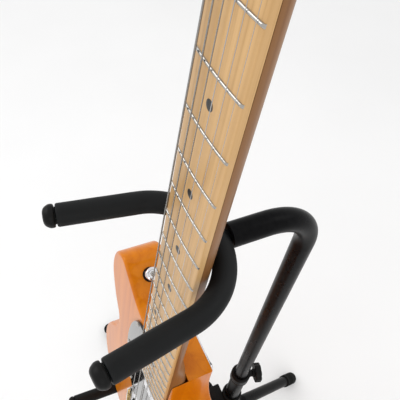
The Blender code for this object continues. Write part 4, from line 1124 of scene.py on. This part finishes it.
def knobs():
    """Two knurled, domed metal knobs."""
    radius, base = 0.0095, 0.0008
    for name in KNOB_PLACES:
        core = turned([(0, base), (radius - 0.0002, base), (radius, base + 0.0024),
                       (radius - 0.0005, base + 0.0030),
                       (radius - 0.0005, base + 0.0128), (radius - 0.0008, base + 0.0136),
                       (radius * 0.62, base + 0.0157), (0, base + 0.0160)], 0.0005, 64)
        band = prism(toothed(radius - 0.0001, 64, 0.0004), base + 0.0032, base + 0.0122, "Z")
        bm = carve(core, [band], "UNION")
        at = axes_at(JOINTS[name.split("_")[0] + "_turn"]["pos_m"],
                     -Vector(GUITAR.col[1][:3]), Vector(GUITAR.col[0][:3]))
        as_piece(name + "_turned", bm, "chrome", name, [name], at, 25)


def selector():
    """Switch lever: a flat steel blade with a barrel-shaped tip."""
    place = axes_at(JOINTS["selector_swing"]["pos_m"], -Vector(GUITAR.col[1][:3]),
                    Vector(GUITAR.col[0][:3]))
    blade = block((0.0022, 0.0030, 0.0235), (0, 0, 0.0095), 0.0004)
    as_piece("selector_blade", blade, "steel", "selector_lever", place=place)
    tip = turned([(0, 0.0155), (0.0030, 0.0157), (0.0044, 0.0180), (0.0050, 0.0215), (0.0050, 0.0245),
                  (0.0040, 0.0285), (0, 0.0295)], 0.0014, 40)
    as_piece("selector_tip", tip, "gloss_black", "selector_lever", ["selector_lever"],
             place)


def edge_place(near):
    """Frame on the body's edge nearest a point, with Z pointing outwards."""
    outline = [Vector(p) for p in body_outline(3)]
    k = min(range(len(outline)), key=lambda i: (outline[i] - Vector(near)).length)
    along = (outline[(k + 1) % len(outline)] - outline[k - 1]).normalized()
    normal = Vector((along.y, -along.x))
    middle = Vector((0, -0.58))
    if (outline[k] + normal * 0.01 - middle).length < (outline[k] - middle).length:
        normal = -normal
    depth = (BODY_FRONT + BODY_BACK) / 2
    return GUITAR @ axes_at((outline[k].x, depth, outline[k].y), (normal.x, 0, normal.y), (0, 1, 0))


def fittings():
    """Strap buttons with their felt washers, and the output jack's cup."""
    button = [(0, 0.0010), (0.0058, 0.0010), (0.0060, 0.0018), (0.0048, 0.0034), (0.0036, 0.0056),
              (0.0040, 0.0082), (0.0068, 0.0098), (0.0074, 0.0108), (0.0070, 0.0122), (0.0050, 0.0132),
              (0.0030, 0.0132), (0.0026, 0.0126), (0, 0.0126)]
    for name, near in (("strap_button_upper", (-0.084, -0.3825)), ("strap_button_end", (0, -0.786))):
        place = edge_place(near)
        as_piece(name + "_turned", turned(button, 0.0005, 48), "chrome", "guitar", [name],
                 place)
        as_piece(name + "_screw", screws([(0, 0, 0.0124)], 0.0029, 0.0012, Matrix.Identity(4)), "nickel",
                 "guitar", place=place)
        felt = turned([(0, -0.0002), (0.0078, -0.0002), (0.0080, 0.0006), (0.0076, 0.0014), (0, 0.0014)],
                      0.0004, 40)
        as_piece(name + "_felt", felt, "rubber", "guitar", place=place)
    cup = turned([(0.0034, 0.0002), (0.0112, 0.0002), (0.0120, 0.0014), (0.0108, 0.0030),
                  (0.0080, 0.0026),
                  (0.0062, 0.0034), (0.0062, 0.0052), (0.0050, 0.0056), (0.0034, 0.0050)], 0.0005, 48)
    as_piece("jack_cup", cup, "chrome", "guitar", ["jack_socket"], edge_place((0.151, -0.690)))
    plate = prism(rounded_outline(0.0255, 0.0320, 0.0050, 10), BODY_BACK + GAP, BODY_BACK + GAP + 0.0020)
    soften(plate, 0.0006, 3, radians(60))
    settle(plate, 0.0004)
    at = GUITAR @ Matrix.Translation((0, 0, -0.435))
    as_piece("neck_plate_pressed", plate, "chrome", "guitar", ["neck_plate"], at)
    spots = [(x, BODY_BACK + GAP + 0.0020, z) for x in (-0.019, 0.019) for z in (-0.0255, 0.0255)]
    as_piece("neck_screws", screws(spots, 0.0046, 0.0020, BACKWARD), "nickel", "guitar",
             place=at)


def tuners():
    """Six enclosed tuners: housings, worm shafts with oval buttons, posts and bushings."""
    places = post_places()
    row = (Vector(places[-1]) - Vector(places[0])).normalized()
    out = Vector((-row.y, row.x))
    back = HEAD_BACK + GAP
    turn = Matrix((Vector((row.x, 0, row.y)), Vector((0, 1, 0)), Vector((out.x, 0, out.y)))).transposed()
    housing_parts, bushing_parts, spots = [], [], []
    for k, (x, z) in enumerate(places):
        frame_at = Matrix.Translation((x, 0, z)) @ turn.to_4x4()
        base = block((TUNER_PITCH - 0.0006, 0.0012, 0.0156), (0, back + 0.0006, 0.0010), 0.0003)
        shell = block((0.0166, GEARBOX_DEPTH - 0.0008, 0.0152),
                      (0, back + GEARBOX_DEPTH / 2 + 0.0002, 0.0010))
        soften(shell, 0.0022, 5)
        sleeve = turned([(0, 0.0), (0.0034, 0.0), (0.0034, 0.0022), (0.0028, 0.0030), (0, 0.0030)],
                        0.0004, 28)
        sleeve.transform(Matrix.Translation((0, back + GEARBOX_DEPTH * 0.58, 0.0078)))
        housing_parts += [(carve(base, [shell, sleeve], "UNION"), frame_at)]
        spots.append(frame_at @ Vector((TUNER_PITCH / 2, back + 0.0012, 0.0010)))
        bush = turned([(POST_RADIUS + 0.0002, -0.0006), (0.0052, -0.0006), (0.0054, 0.0010),
                       (0.0048, 0.0020),
                       (POST_RADIUS + 0.0002, 0.0022)], 0.0005, 40)
        bushing_parts.append((bush, Matrix.Translation((x, HEAD_FRONT, z)) @ FRONTWARD))
    as_piece("tuner_housings", gathered(housing_parts), "chrome", "guitar", ["tuner_strip"],
             GUITAR)
    as_piece("post_bushings", gathered(bushing_parts), "nickel", "guitar", place=GUITAR)
    as_piece("tuner_screws", screws(spots[:-1], 0.0017, 0.0009, BACKWARD), "nickel", "guitar",
             place=GUITAR)
    for k, (x, z) in enumerate(places):
        length = HEAD_BACK - HEAD_FRONT + POST_PROUD
        post = turned([(0, 0.0001), (POST_RADIUS, 0.0001), (POST_RADIUS, length - 0.0072),
                       (POST_RADIUS - 0.0007, length - 0.0058), (POST_RADIUS - 0.0007, length - 0.0032),
                       (POST_RADIUS, length - 0.0020), (POST_RADIUS, length - 0.0004), (0, length)],
                       0.0004, 40)
        post = carve(post, [block((0.0012, 0.02, 0.0052), (0, 0, length - 0.0018))])
        name = "tuner_post_%d" % (k + 1)
        at = Matrix.Translation((x, HEAD_BACK, z)) @ FRONTWARD
        as_piece(name + "_split", post, "chrome", name, [name], GUITAR @ at)

        near = BUTTON_OUT - BUTTON_LENGTH / 2
        shaft = turned([(0, 0.0093), (0.0022, 0.0093), (0.0022, near - 0.0006), (0.0036, near),
                        (0.0036, near + 0.0016), (0, near + 0.0016)], 0.0003, 28)
        knob = turned([(0, near + 0.0008), (0.0040, near + 0.0010), (BUTTON_RADIUS * 0.80, near + 0.0022),
                       (BUTTON_RADIUS, near + 0.0052), (BUTTON_RADIUS * 0.97, near + 0.0082),
                       (BUTTON_RADIUS * 0.72, near + BUTTON_LENGTH), (0, near + BUTTON_LENGTH)], 0.0014,
                       56)
        bmesh.ops.scale(knob, vec=(1.0, 0.60, 1.0), verts=knob.verts)
        button = carve(shaft, [knob], "UNION")
        joint = JOINTS["tune_%d" % (k + 1)]
        name = "tuner_button_%d" % (k + 1)
        at = axes_at(joint["pos_m"], joint["axis"], GUITAR.col[1][:3])
        as_piece(name + "_oval", button, "chrome", name, [name], at)


def string_guide():
    disc = turned([(0, 0), (0.0030, 0), (0.0028, 0.0034), (0.0058, 0.0040), (0.0062, 0.0048),
                   (0.0052, 0.0056),
                   (0, 0.0054)], 0.0004, 48)
    place = GUITAR @ Matrix.Translation((0.0150, HEAD_FRONT - GAP, 0.0760)) @ FRONTWARD
    as_piece("string_tree", disc, "chrome", "guitar", ["string_guide"], place)
    as_piece("string_tree_screw", screws([(0, 0, 0.0053)], 0.0026, 0.0011, Matrix.Identity(4)), "nickel",
             "guitar", place=place)


# ---- stand pieces --------------------------------------------------------------------
def tubes():
    """Upper cane tube, lower tube and the plug in its foot."""
    rise = Vector((0, -cos(CANE_RISE), sin(CANE_RISE)))
    base = Vector((0, -YOKE_REACH, YOKE_HEIGHT))
    end = base - rise * (YOKE_FOAM_RADIUS + GAP)
    corner = base - rise * (YOKE_REACH / cos(CANE_RISE))
    path = dense(filleted([Vector((0, 0, LOWER_TOP - INSERTION)), corner, end], CANE_BEND, 32), 0.02)
    as_piece("upper_tube_bent", swept(path, UPPER_RADIUS, 48), "enamel", "height_tube",
             ["upper_tube"], STAND)
    inside = LOWER_RADIUS - TUBE_WALL
    lower = turned([(inside, LOWER_BOTTOM), (LOWER_RADIUS, LOWER_BOTTOM), (LOWER_RADIUS, LOWER_TOP),
                    (inside, LOWER_TOP)], 0.0003, 56)
    as_piece("lower_tube_drawn", lower, "enamel", "stand_base", ["lower_tube"],
             STAND)
    plug = turned([(0, LOWER_BOTTOM - 0.0050), (LOWER_RADIUS - 0.003, LOWER_BOTTOM - 0.0050),
                   (LOWER_RADIUS, LOWER_BOTTOM - 0.0030), (LOWER_RADIUS, LOWER_BOTTOM - GAP),
                   (LOWER_RADIUS - 0.0015, LOWER_BOTTOM - GAP),
                   (LOWER_RADIUS - 0.0015, LOWER_BOTTOM + 0.012),
                   (0, LOWER_BOTTOM + 0.012)], 0.0010, 48)
    as_piece("bottom_plug", plug, "cap_plastic", "stand_base", ["tube_bottom_plug"],
             STAND)


def yoke_path():
    ahead = Vector((0, -cos(YOKE_PITCH), sin(YOKE_PITCH)))
    base = Vector((0, -YOKE_REACH, YOKE_HEIGHT))
    ends = []
    for side in (-1, 1):
        corner = base + Vector((side * YOKE_HALF_WIDTH, 0, 0))
        way = ahead * cos(YOKE_SPLAY) + Vector((side * sin(YOKE_SPLAY), 0, 0))
        ends.append((corner, corner + way * YOKE_ARM, way))
    bass, treble = ends
    return filleted([bass[1], bass[0], treble[0], treble[1]], YOKE_BEND, 28), bass, treble


def foam_sleeve(name, path, radius, body, node):
    """Sleeve of foam along a path, with eased ends and a faintly uneven skin."""
    wave = bpy.context.scene.stand_sizes.foam_wave

    def size(at, whole):
        edge = min(at, whole - at)
        ends = sqrt(max(0.0, 1 - max(0.0, 1 - edge / 0.0016) ** 2)) * 0.10 + 0.90
        return radius * ends * (1 - wave * (1 + sin(at * 170) * sin(at * 61 + 1)) / 2)

    path = dense(path, 0.004)
    tips = [path[0].lerp(path[1], share) for share in (0.0, 0.06, 0.16, 0.32)]
    tails = [path[-1].lerp(path[-2], share) for share in (0.32, 0.16, 0.06, 0.0)]
    piece = as_piece(name, swept(tips + path[1:-1] + tails, size, 40), "foam", body, [node],
                     STAND, 60)
    return piece


def cap(name, node, radius, end, way, body):
    """Moulded cap that closes a sleeve's end, with a groove where they meet."""
    length = CAP_LENGTH
    bm = turned([(0, 0), (radius - 0.0022, 0), (radius - 0.0022, 0.0009), (radius - 0.0004, 0.0010),
                 (radius, 0.0022), (radius, length * 0.50), (radius - 0.0016, length * 0.84),
                 (radius * 0.55, length), (0, length)], 0.0016, 48)
    as_piece(name, bm, "cap_plastic", body, [node],
             STAND @ axes_at(end + way * GAP, way, (0, 0, 1)))


def yoke():
    path, bass, treble = yoke_path()
    foam_sleeve("yoke_sleeve", path, YOKE_FOAM_RADIUS, "height_tube", "yoke_foam")
    for label, (_, end, way) in (("bass", bass), ("treble", treble)):
        cap("yoke_end_" + label, "yoke_cap_" + label, YOKE_FOAM_RADIUS, end, way, "height_tube")
    rise = Vector((0, cos(CANE_RISE), -sin(CANE_RISE)))
    base = Vector((0, -YOKE_REACH, YOKE_HEIGHT))
    thin, thick = 0.0045, UPPER_RADIUS - 0.0014
    start, end = YOKE_FOAM_RADIUS + 0.0008, YOKE_FOAM_RADIUS + 0.0160
    stem = turned([(0, 0), (thin, 0), (thin, start), (thick, start + 0.0006), (thick, end), (0, end)],
                  0.0004, 32)
    as_piece("yoke_stem", stem, "enamel", "height_tube", ["yoke_bar"],
             STAND @ axes_at(base, rise))


def clamp():
    """Collar that guides the upper tube, and its fluted clamping knob."""
    low, high = LOWER_TOP - COLLAR_LAP, LOWER_TOP + COLLAR_LAP
    wide, narrow, outer = LOWER_RADIUS + GAP, UPPER_RADIUS + GAP, COLLAR_RADIUS
    collar = turned([(wide, low), (outer - 0.0010, low), (outer, low + 0.0010), (outer, low + 0.0036),
                     (outer - 0.0006, low + 0.0042), (outer - 0.0006, low + 0.0050),
                     (outer, low + 0.0056),
                     (outer, high - 0.0020), (outer - 0.0015, high), (narrow, high),
                     (narrow, LOWER_TOP + GAP),
                     (wide, LOWER_TOP + GAP)], 0.0005, 64)
    joint = JOINTS["clamp_turn"]
    knob_at = axes_at(joint["pos_m"], joint["axis"], (0, 0, 1))
    in_stand = STAND.inverted() @ knob_at
    seat, shank = COLLAR_RADIUS + 0.0035, SHANK_RADIUS
    boss = turned([(0, 0.0122), (0.0053, 0.0122), (0.0049, seat - 0.0005), (0, seat - 0.0005)], 0.0005,
                  40)
    bore = lathe([(0, narrow - 0.0010), (shank + 0.0003, narrow - 0.0010),
                  (shank + 0.0003, seat + 0.0010),
                  (0, seat + 0.0010)], 32)
    for part in (boss, bore):
        part.transform(in_stand)
    hollow = lathe([(0, 0.3), (narrow, 0.3), (narrow, 0.5), (0, 0.5)], 48)
    collar = carve(carve(collar, [boss], "UNION"), [hollow, bore])
    as_piece("clamp_sleeve", collar, "moulded", "stand_base", ["clamp_collar"], STAND)

    size = bpy.context.scene.stand_sizes
    outline = []
    count = size.knob_lobes * 14
    for k in range(count):
        angle = 2 * pi * k / count
        dip = 0.5 + 0.5 * cos(size.knob_lobes * angle)
        r = KNOB_RADIUS * (1 - 0.10 * dip ** 2)
        outline.append((r * cos(angle), r * sin(angle)))
    grip = prism(outline, seat + 0.0025, seat + 0.0115, "Z")
    soften(grip, 0.0014, 4, radians(60))
    settle(grip, 0.0005)
    hub = turned([(0, narrow + 0.0002), (shank, narrow + 0.0002), (shank, seat), (0.0060, seat),
                  (0.0060, seat + 0.0040), (0, seat + 0.0040)], 0.0004, 36)
    dish = turned([(0, seat + 0.0107), (0.0074, seat + 0.0107), (0.0086, seat + 0.0125),
                   (0, seat + 0.0125)],
                  0.0005, 48)
    knob = carve(carve(hub, [grip], "UNION"), [dish])
    as_piece("clamp_knob_fluted", knob, "moulded", "clamp_knob", ["clamp_knob"], knob_at)


def leg_collar():
    """Collar with a pair of ears for each leg."""
    low, high = HUB_HEIGHT - HUB_HALF, HUB_HEIGHT + HUB_HALF
    parts = []
    for yaw, _ in LEGS.values():
        for side in (-1, 1):
            aside = side * (TONGUE / 2 + GAP + EAR_THICKNESS / 2)
            ear = block((EAR_THICKNESS, 0.0208, 0.0130), (aside, PIVOT_REACH - 0.0049, 0))
            soften(ear, 0.0048, 6, radians(40), lambda e: all(v.co.y > 0.030 for v in e.verts)
                   and abs((e.verts[0].co - e.verts[1].co).normalized().x) > 0.9)
            soften(ear, 0.0005, 2, radians(60))
            ear.transform(Matrix.Translation((0, 0, HUB_HEIGHT)) @ Matrix.Rotation(-yaw, 4, "Z"))
            parts.append(ear)
    hub = turned([(LOWER_RADIUS + GAP, low), (HUB_RADIUS, low), (HUB_RADIUS, high),
                  (LOWER_RADIUS + GAP, high)], 0.0014, 56)
    as_piece("leg_hub", carve(hub, parts, "UNION"), "moulded", "stand_base",
             ["leg_collar"], STAND)


def legs():
    """Three tube legs with pressed ends, their rivets and rubber feet."""
    for side, (yaw, reach) in LEGS.items():
        joint = JOINTS["fold_" + side]
        pivot = Vector(joint["pos_m"])
        foot = Vector((sin(yaw) * reach, cos(yaw) * reach, FOOT_LIFT))
        along, length = (foot - pivot).normalized(), (foot - pivot).length
        place = axes_at(pivot, along, joint["axis"])
        half = TONGUE / 2
        stations = [(-0.0058, 0.0030, half - 0.0006), (-0.0054, 0.0046, half), (-0.0030, 0.0060, half),
                    (0.0020, 0.0068, half), (0.0100, 0.0070, half)]
        for i in range(1, 9):
            t = i / 8
            stations.append((lerp(0.0100, 0.0260, t), lerp(0.0070, LEG_RADIUS, ease(t)),
                             lerp(half, LEG_RADIUS, ease(t))))
        stations += [(z, LEG_RADIUS, LEG_RADIUS) for z in (length * 0.4, length * 0.7, length - 0.006)]
        sides = 40
        rings = [[Vector((thick * cos(2 * pi * k / sides), wide * sin(2 * pi * k / sides), z))
                  for k in range(sides)] for z, wide, thick in stations]
        name = "leg_" + side
        as_piece(name + "_tube", ring_loft(rings), "enamel", name, [name], place)

        grip = half + GAP + EAR_THICKNESS + 0.0002
        rivet = turned([(0, -grip - 0.0020), (0.0026, -grip - 0.0018), (0.0042, -grip),
                        (PIN_RADIUS, -grip),
                        (PIN_RADIUS, grip), (0.0042, grip), (0.0026, grip + 0.0018), (0, grip + 0.0020)],
                       0.0003, 32)
        as_piece("leg_rivet_" + side, rivet, "steel", "stand_base", ["leg_pin_" + side],
                 place @ Matrix.Rotation(pi / 2, 4, "Y"))
        rubber_foot(side, place, length)


def rubber_foot(side, place, length):
    """Ribbed foot pushed over the leg's end, worn flat where it stands."""
    low = length - FOOT_LENGTH + FOOT_RADIUS * 0.8
    high = low + FOOT_LENGTH
    profile = [(LEG_RADIUS + 0.0002, low + 0.0004), (FOOT_RADIUS - 0.0014, low),
               (FOOT_RADIUS, low + 0.0014),
               (FOOT_RADIUS, low + 0.0060)]
    for k in range(4):
        z = low + 0.0070 + 0.0046 * k
        profile += [(FOOT_RADIUS - 0.0009, z), (FOOT_RADIUS - 0.0009, z + 0.0014),
                    (FOOT_RADIUS, z + 0.0022),
                    (FOOT_RADIUS, z + 0.0038)]
    profile += [(FOOT_RADIUS, high - 0.0060), (FOOT_RADIUS - 0.0020, high - 0.0018),
                (FOOT_RADIUS - 0.0060, high),
                (0, high), (0, low + 0.0004)]
    bm = turned(profile, 0.0010, 56)
    floor = place.inverted()
    bmesh.ops.bisect_plane(bm, geom=bm.verts[:] + bm.edges[:] + bm.faces[:],
                           plane_co=floor @ Vector((0, 0, 0)),
                           plane_no=(floor.to_3x3() @ Vector((0, 0, 1))).normalized(), clear_inner=True)
    bmesh.ops.holes_fill(bm, edges=[e for e in bm.edges if e.is_boundary], sides=0)
    as_piece("foot_%s_ribbed" % side, bm, "rubber", "leg_" + side, ["foot_" + side], place)


def arm_place(side):
    """Centre of a cradle arm where the lower bout rests on it, in the guitar's frame."""
    touch = CRADLE_FOAM_RADIUS + 0.0006
    x = side * CRADLE_HALF_WIDTH
    lowest = 0.0
    outline = body_outline(3)
    for (x0, z0), (x1, z1) in zip(outline, outline[1:] + outline[:1]):
        for k in range(8):
            away, z = x - lerp(x0, x1, k / 8), lerp(z0, z1, k / 8)
            if abs(away) < touch and z < -0.6:
                lowest = min(lowest, z - sqrt(touch ** 2 - away ** 2))
    return Vector((x, 0, lowest))


def cradle():
    """Padded arms under the body, on one bent bar held by a bracket."""
    to_stand = STAND.inverted() @ GUITAR
    back_y, height, rise = -LOWER_RADIUS - BAR_AHEAD, CRADLE_HEIGHT, CRADLE_TIP_RISE
    ends = {}
    for side in (-1, 1):
        under = arm_place(side)
        face = under + Vector((0, BODY_FRONT + 0.004, 0))
        tip = face + Vector((0, -cos(rise), sin(rise))) * CRADLE_FRONT
        ends[side] = [to_stand @ p for p in (tip, face, under + Vector((0, BODY_BACK + 0.012, 0)))]
    middle = [Vector((x, back_y, height)) for x in (-CRADLE_STRAIGHT, CRADLE_STRAIGHT)]
    path = filleted([*ends[-1], *middle, ends[1][2], ends[1][1], ends[1][0]], CRADLE_BEND, 20)
    bar_path = [path[0].lerp(path[1], 0.3)] + path[1:-1] + [path[-1].lerp(path[-2], 0.3)]
    as_piece("cradle_rod", swept(bar_path, CRADLE_BAR_RADIUS, 32), "enamel", "stand_base",
             ["cradle_bar"], STAND)
    for side, label in ((-1, "bass"), (1, "treble")):
        ordered = path if side < 0 else path[::-1]
        sleeve = [p for p in ordered if side * p.x > CRADLE_FOAM_START]
        edge, last = ordered[len(sleeve)], sleeve[-1]
        share = (side * last.x - CRADLE_FOAM_START) / max(1e-9, side * (last.x - edge.x))
        sleeve.append(last.lerp(edge, share))
        foam_sleeve("cradle_sleeve_" + label, sleeve, CRADLE_FOAM_RADIUS, "stand_base",
                    "cradle_foam_" + label)
        way = (ordered[0] - ordered[1]).normalized()
        cap("cradle_end_" + label, "cradle_cap_" + label, CRADLE_FOAM_RADIUS, ordered[0], way,
            "stand_base")
    low, high, inner = height - BRACKET_HALF, height + BRACKET_HALF, LOWER_RADIUS + GAP
    hub = turned([(inner, low), (HUB_RADIUS, low), (HUB_RADIUS, high), (inner, high)], 0.0012, 56)
    shoe = block((0.0434, 0.0200, 0.022), (0, back_y + 0.0028, height), 0.0020)
    bore = lathe([(0, height - 0.05), (inner, height - 0.05), (inner, height + 0.05), (0, height + 0.05)],
                 56)
    as_piece("cradle_clamp", carve(carve(hub, [shoe], "UNION"), [bore]), "moulded", "stand_base",
             ["cradle_bracket"], STAND)
    heads = [(x, back_y - 0.0072, height) for x in (-0.014, 0.014)]
    bm = screws(heads, 0.0038, 0.0020, FRONTWARD)
    as_piece("cradle_screws", bm, "steel", "stand_base", place=STAND)


# ---- stage ---------------------------------------------------------------------------
def stage():
    """Pale floor, soft light from all round, and the camera."""
    look = bpy.context.scene.studio
    bm = bmesh.new()
    bmesh.ops.create_grid(bm, x_segments=24, y_segments=24, size=look.floor_size / 2)
    mesh = bpy.data.meshes.new("floor")
    bm.to_mesh(mesh)
    bm.free()
    floor = bpy.data.objects.new("floor", mesh)
    bpy.context.scene.collection.objects.link(floor)
    mesh.materials.append(material("floor_paint"))

    world = bpy.data.worlds.new("studio")
    world.use_nodes = True
    world.node_tree.nodes["Background"].inputs["Color"].default_value = (1.0, 1.0, 1.0, 1.0)
    world.node_tree.nodes["Background"].inputs["Strength"].default_value = look.ambient
    bpy.context.scene.world = world
    low, high = (Vector(corner) for corner in CAD_BOX)
    middle = (low + high) / 2
    for name, offset, size, power in (("key", (-1.1, -1.2, 1.3), 1.4, look.key_power),
                                      ("fill", (1.5, -0.6, 0.8), 1.2, look.fill_power),
                                      ("back", (0.4, 1.6, 1.5), 1.2, look.back_power)):
        light = bpy.data.lights.new(name, "AREA")
        light.shape = "DISK"
        light.size = size
        light.energy = power
        lamp = bpy.data.objects.new(name, light)
        lamp.location = middle + Vector(offset)
        lamp.rotation_euler = (-Vector(offset)).to_track_quat("-Z", "Y").to_euler()
        bpy.context.scene.collection.objects.link(lamp)

    right, forward = Vector(EYE_RIGHT).normalized(), Vector(EYE_FORWARD).normalized()
    up = right.cross(forward)
    camera = bpy.data.cameras.new("camera")
    camera.lens = EYE_LENS
    camera.sensor_width = 36.0
    camera.clip_start = 0.01
    eye = bpy.data.objects.new("camera", camera)
    turn = GUITAR.to_3x3() @ Matrix((right, up, -forward)).transposed()
    eye.matrix_world = Matrix.Translation(GUITAR @ Vector(EYE)) @ turn.to_4x4()
    bpy.context.scene.collection.objects.link(eye)
    bpy.context.scene.camera = eye
    bpy.context.scene.view_settings.view_transform = "Standard"
    bpy.context.scene.view_settings.exposure = look.exposure


# ---- settings --------------------------------------------------------------------------
def length(name, text, value, low=0.0, high=1.0):
    return bpy.props.FloatProperty(name=name, description=text, default=value, min=low, max=high,
                                   subtype="DISTANCE", unit="LENGTH", precision=4)


def color(name, text, value):
    return bpy.props.FloatVectorProperty(name=name, description=text, default=value, size=3, min=0.0,
                                         max=1.0,
                                         subtype="COLOR")


def number(name, text, value, low=0.0, high=10.0):
    return bpy.props.FloatProperty(name=name, description=text, default=value, min=low, max=high)


class GuitarFinish(bpy.types.PropertyGroup):
    lacquer_color: color("Lacquer", "Colour of the body's lacquer", (0.62, 0.175, 0.002))
    maple_color: color("Maple", "Colour of the neck and fretboard", (0.59, 0.365, 0.158))


class GuitarSizes(bpy.types.PropertyGroup):
    edge_round: length("Edge rounding", "Radius of the body's front and back edges", 0.003, 0.001, 0.006)
    fret_width: length("Fret width", "Width of each fret's crown", 0.0019, 0.001, 0.004)
    fret_height: length("Fret height", "Height of each fret above the board", 0.0010, 0.0005, 0.002)
    dot_size: length("Dot size", "Diameter of the round inlays", 0.0062, 0.003, 0.010)
    nut_spread: length("String spread, nut", "Outer strings' spacing at the nut", 0.0350, 0.030, 0.038)
    bridge_spread: length("String spread, bridge", "Outer strings' spacing at the saddles", 0.0540, 0.048,
                          0.060)


class StandSizes(bpy.types.PropertyGroup):
    foam_wave: number("Foam unevenness", "How far the foam's skin dips, as a share of its radius", 0.012,
                      0.0, 0.05)
    knob_lobes: bpy.props.IntProperty(name="Knob flutes",
                                      description="Finger flutes round the clamping knob",
                                      default=8, min=5, max=16)


class Studio(bpy.types.PropertyGroup):
    floor_size: length("Floor size", "Side of the square floor", 9.0, 2.0, 20.0)
    ambient: number("Ambient light", "Strength of the even light from all round", 0.90)
    key_power: number("Key light", "Power of the main soft light, in watts", 12.0, 0.0, 500.0)
    fill_power: number("Fill light", "Power of the fill light, in watts", 4.0, 0.0, 500.0)
    back_power: number("Back light", "Power of the light behind, in watts", 5.0, 0.0, 500.0)
    exposure: number("Exposure", "Exposure of the view, in stops", 0.0, -4.0)


# ---- operators --------------------------------------------------------------------------
class BuildOperator:
    """Base of the operators, each of which runs its own builders."""
    bl_options = {"REGISTER", "UNDO"}
    builders = ()

    def execute(self, context):
        for build in self.builders:
            build()
        return {"FINISHED"}


class GUITAR_OT_body(BuildOperator, bpy.types.Operator):
    """Make the solid body and the ferrules in its back"""
    bl_idname = "guitar.body"
    bl_label = "Body"
    builders = (guitar_body,)


class GUITAR_OT_neck(BuildOperator, bpy.types.Operator):
    """Make the neck with its headstock"""
    bl_idname = "guitar.neck"
    bl_label = "Neck"
    builders = (neck,)


class GUITAR_OT_fretboard(BuildOperator, bpy.types.Operator):
    """Make the fretboard with its frets, inlays and nut"""
    bl_idname = "guitar.fretboard"
    bl_label = "Fretboard"
    builders = (fretboard, frets, markers, nut)


class GUITAR_OT_strings(BuildOperator, bpy.types.Operator):
    """Make the six strings and their windings on the posts"""
    bl_idname = "guitar.strings"
    bl_label = "Strings"
    builders = (strings,)


class GUITAR_OT_face(BuildOperator, bpy.types.Operator):
    """Make the pickguard and the pickups"""
    bl_idname = "guitar.face"
    bl_label = "Pickguard and Pickups"
    builders = (pickguard, pickups)


class GUITAR_OT_bridge(BuildOperator, bpy.types.Operator):
    """Make the bridge with its saddles, springs and screws"""
    bl_idname = "guitar.bridge"
    bl_label = "Bridge"
    builders = (bridge,)


class GUITAR_OT_controls(BuildOperator, bpy.types.Operator):
    """Make the control plate, the knobs and the selector"""
    bl_idname = "guitar.controls"
    bl_label = "Controls"
    builders = (control_plate, knobs, selector)


class GUITAR_OT_fittings(BuildOperator, bpy.types.Operator):
    """Make the strap buttons, the jack and the neck plate"""
    bl_idname = "guitar.fittings"
    bl_label = "Fittings"
    builders = (fittings,)


class GUITAR_OT_tuners(BuildOperator, bpy.types.Operator):
    """Make the tuners and the string guide"""
    bl_idname = "guitar.tuners"
    bl_label = "Tuners"
    builders = (tuners, string_guide)


class STAND_OT_tubes(BuildOperator, bpy.types.Operator):
    """Make the stand's two tubes"""
    bl_idname = "stand.tubes"
    bl_label = "Tubes"
    builders = (tubes,)


class STAND_OT_yoke(BuildOperator, bpy.types.Operator):
    """Make the foam-covered yoke that holds the neck"""
    bl_idname = "stand.yoke"
    bl_label = "Neck Yoke"
    builders = (yoke,)


class STAND_OT_clamp(BuildOperator, bpy.types.Operator):
    """Make the height clamp and its knob"""
    bl_idname = "stand.clamp"
    bl_label = "Height Clamp"
    builders = (clamp,)


class STAND_OT_legs(BuildOperator, bpy.types.Operator):
    """Make the leg collar, the legs and their feet"""
    bl_idname = "stand.legs"
    bl_label = "Legs"
    builders = (leg_collar, legs)


class STAND_OT_cradle(BuildOperator, bpy.types.Operator):
    """Make the padded arms that carry the body"""
    bl_idname = "stand.cradle"
    bl_label = "Cradle"
    builders = (cradle,)


class STUDIO_OT_stage(BuildOperator, bpy.types.Operator):
    """Make the floor, the lights and the camera"""
    bl_idname = "studio.stage"
    bl_label = "Stage"
    builders = (stage,)


OPERATORS = (GUITAR_OT_body, GUITAR_OT_neck, GUITAR_OT_fretboard, GUITAR_OT_strings, GUITAR_OT_face,
             GUITAR_OT_bridge, GUITAR_OT_controls, GUITAR_OT_fittings, GUITAR_OT_tuners, STAND_OT_tubes,
             STAND_OT_yoke, STAND_OT_clamp, STAND_OT_legs, STAND_OT_cradle, STUDIO_OT_stage)
SETTINGS = {"guitar_finish": GuitarFinish, "guitar_sizes": GuitarSizes, "stand_sizes": StandSizes,
            "studio": Studio}


class GUITAR_PT_panel(bpy.types.Panel):
    """Sizes, colours and builders of the guitar and its stand"""
    bl_idname = "GUITAR_PT_panel"
    bl_label = "Guitar on Stand"
    bl_space_type = "VIEW_3D"
    bl_region_type = "UI"
    bl_category = "Guitar"

    def draw(self, context):
        for name, group in SETTINGS.items():
            box = self.layout.box()
            for setting in group.__annotations__:
                box.prop(getattr(context.scene, name), setting)
        column = self.layout.column(align=True)
        for operator in OPERATORS:
            column.operator(operator.bl_idname)


def register():
    for cls in (*SETTINGS.values(), *OPERATORS, GUITAR_PT_panel):
        bpy.utils.register_class(cls)
    for name, group in SETTINGS.items():
        setattr(bpy.types.Scene, name, bpy.props.PointerProperty(type=group))


def unregister():
    for name in SETTINGS:
        delattr(bpy.types.Scene, name)
    for cls in (GUITAR_PT_panel, *reversed(OPERATORS), *SETTINGS.values()):
        bpy.utils.unregister_class(cls)


def main():
    register()
    for operator in OPERATORS:
        group, name = operator.bl_idname.split(".")
        getattr(getattr(bpy.ops, group), name)()


if __name__ == "__main__":
    main()
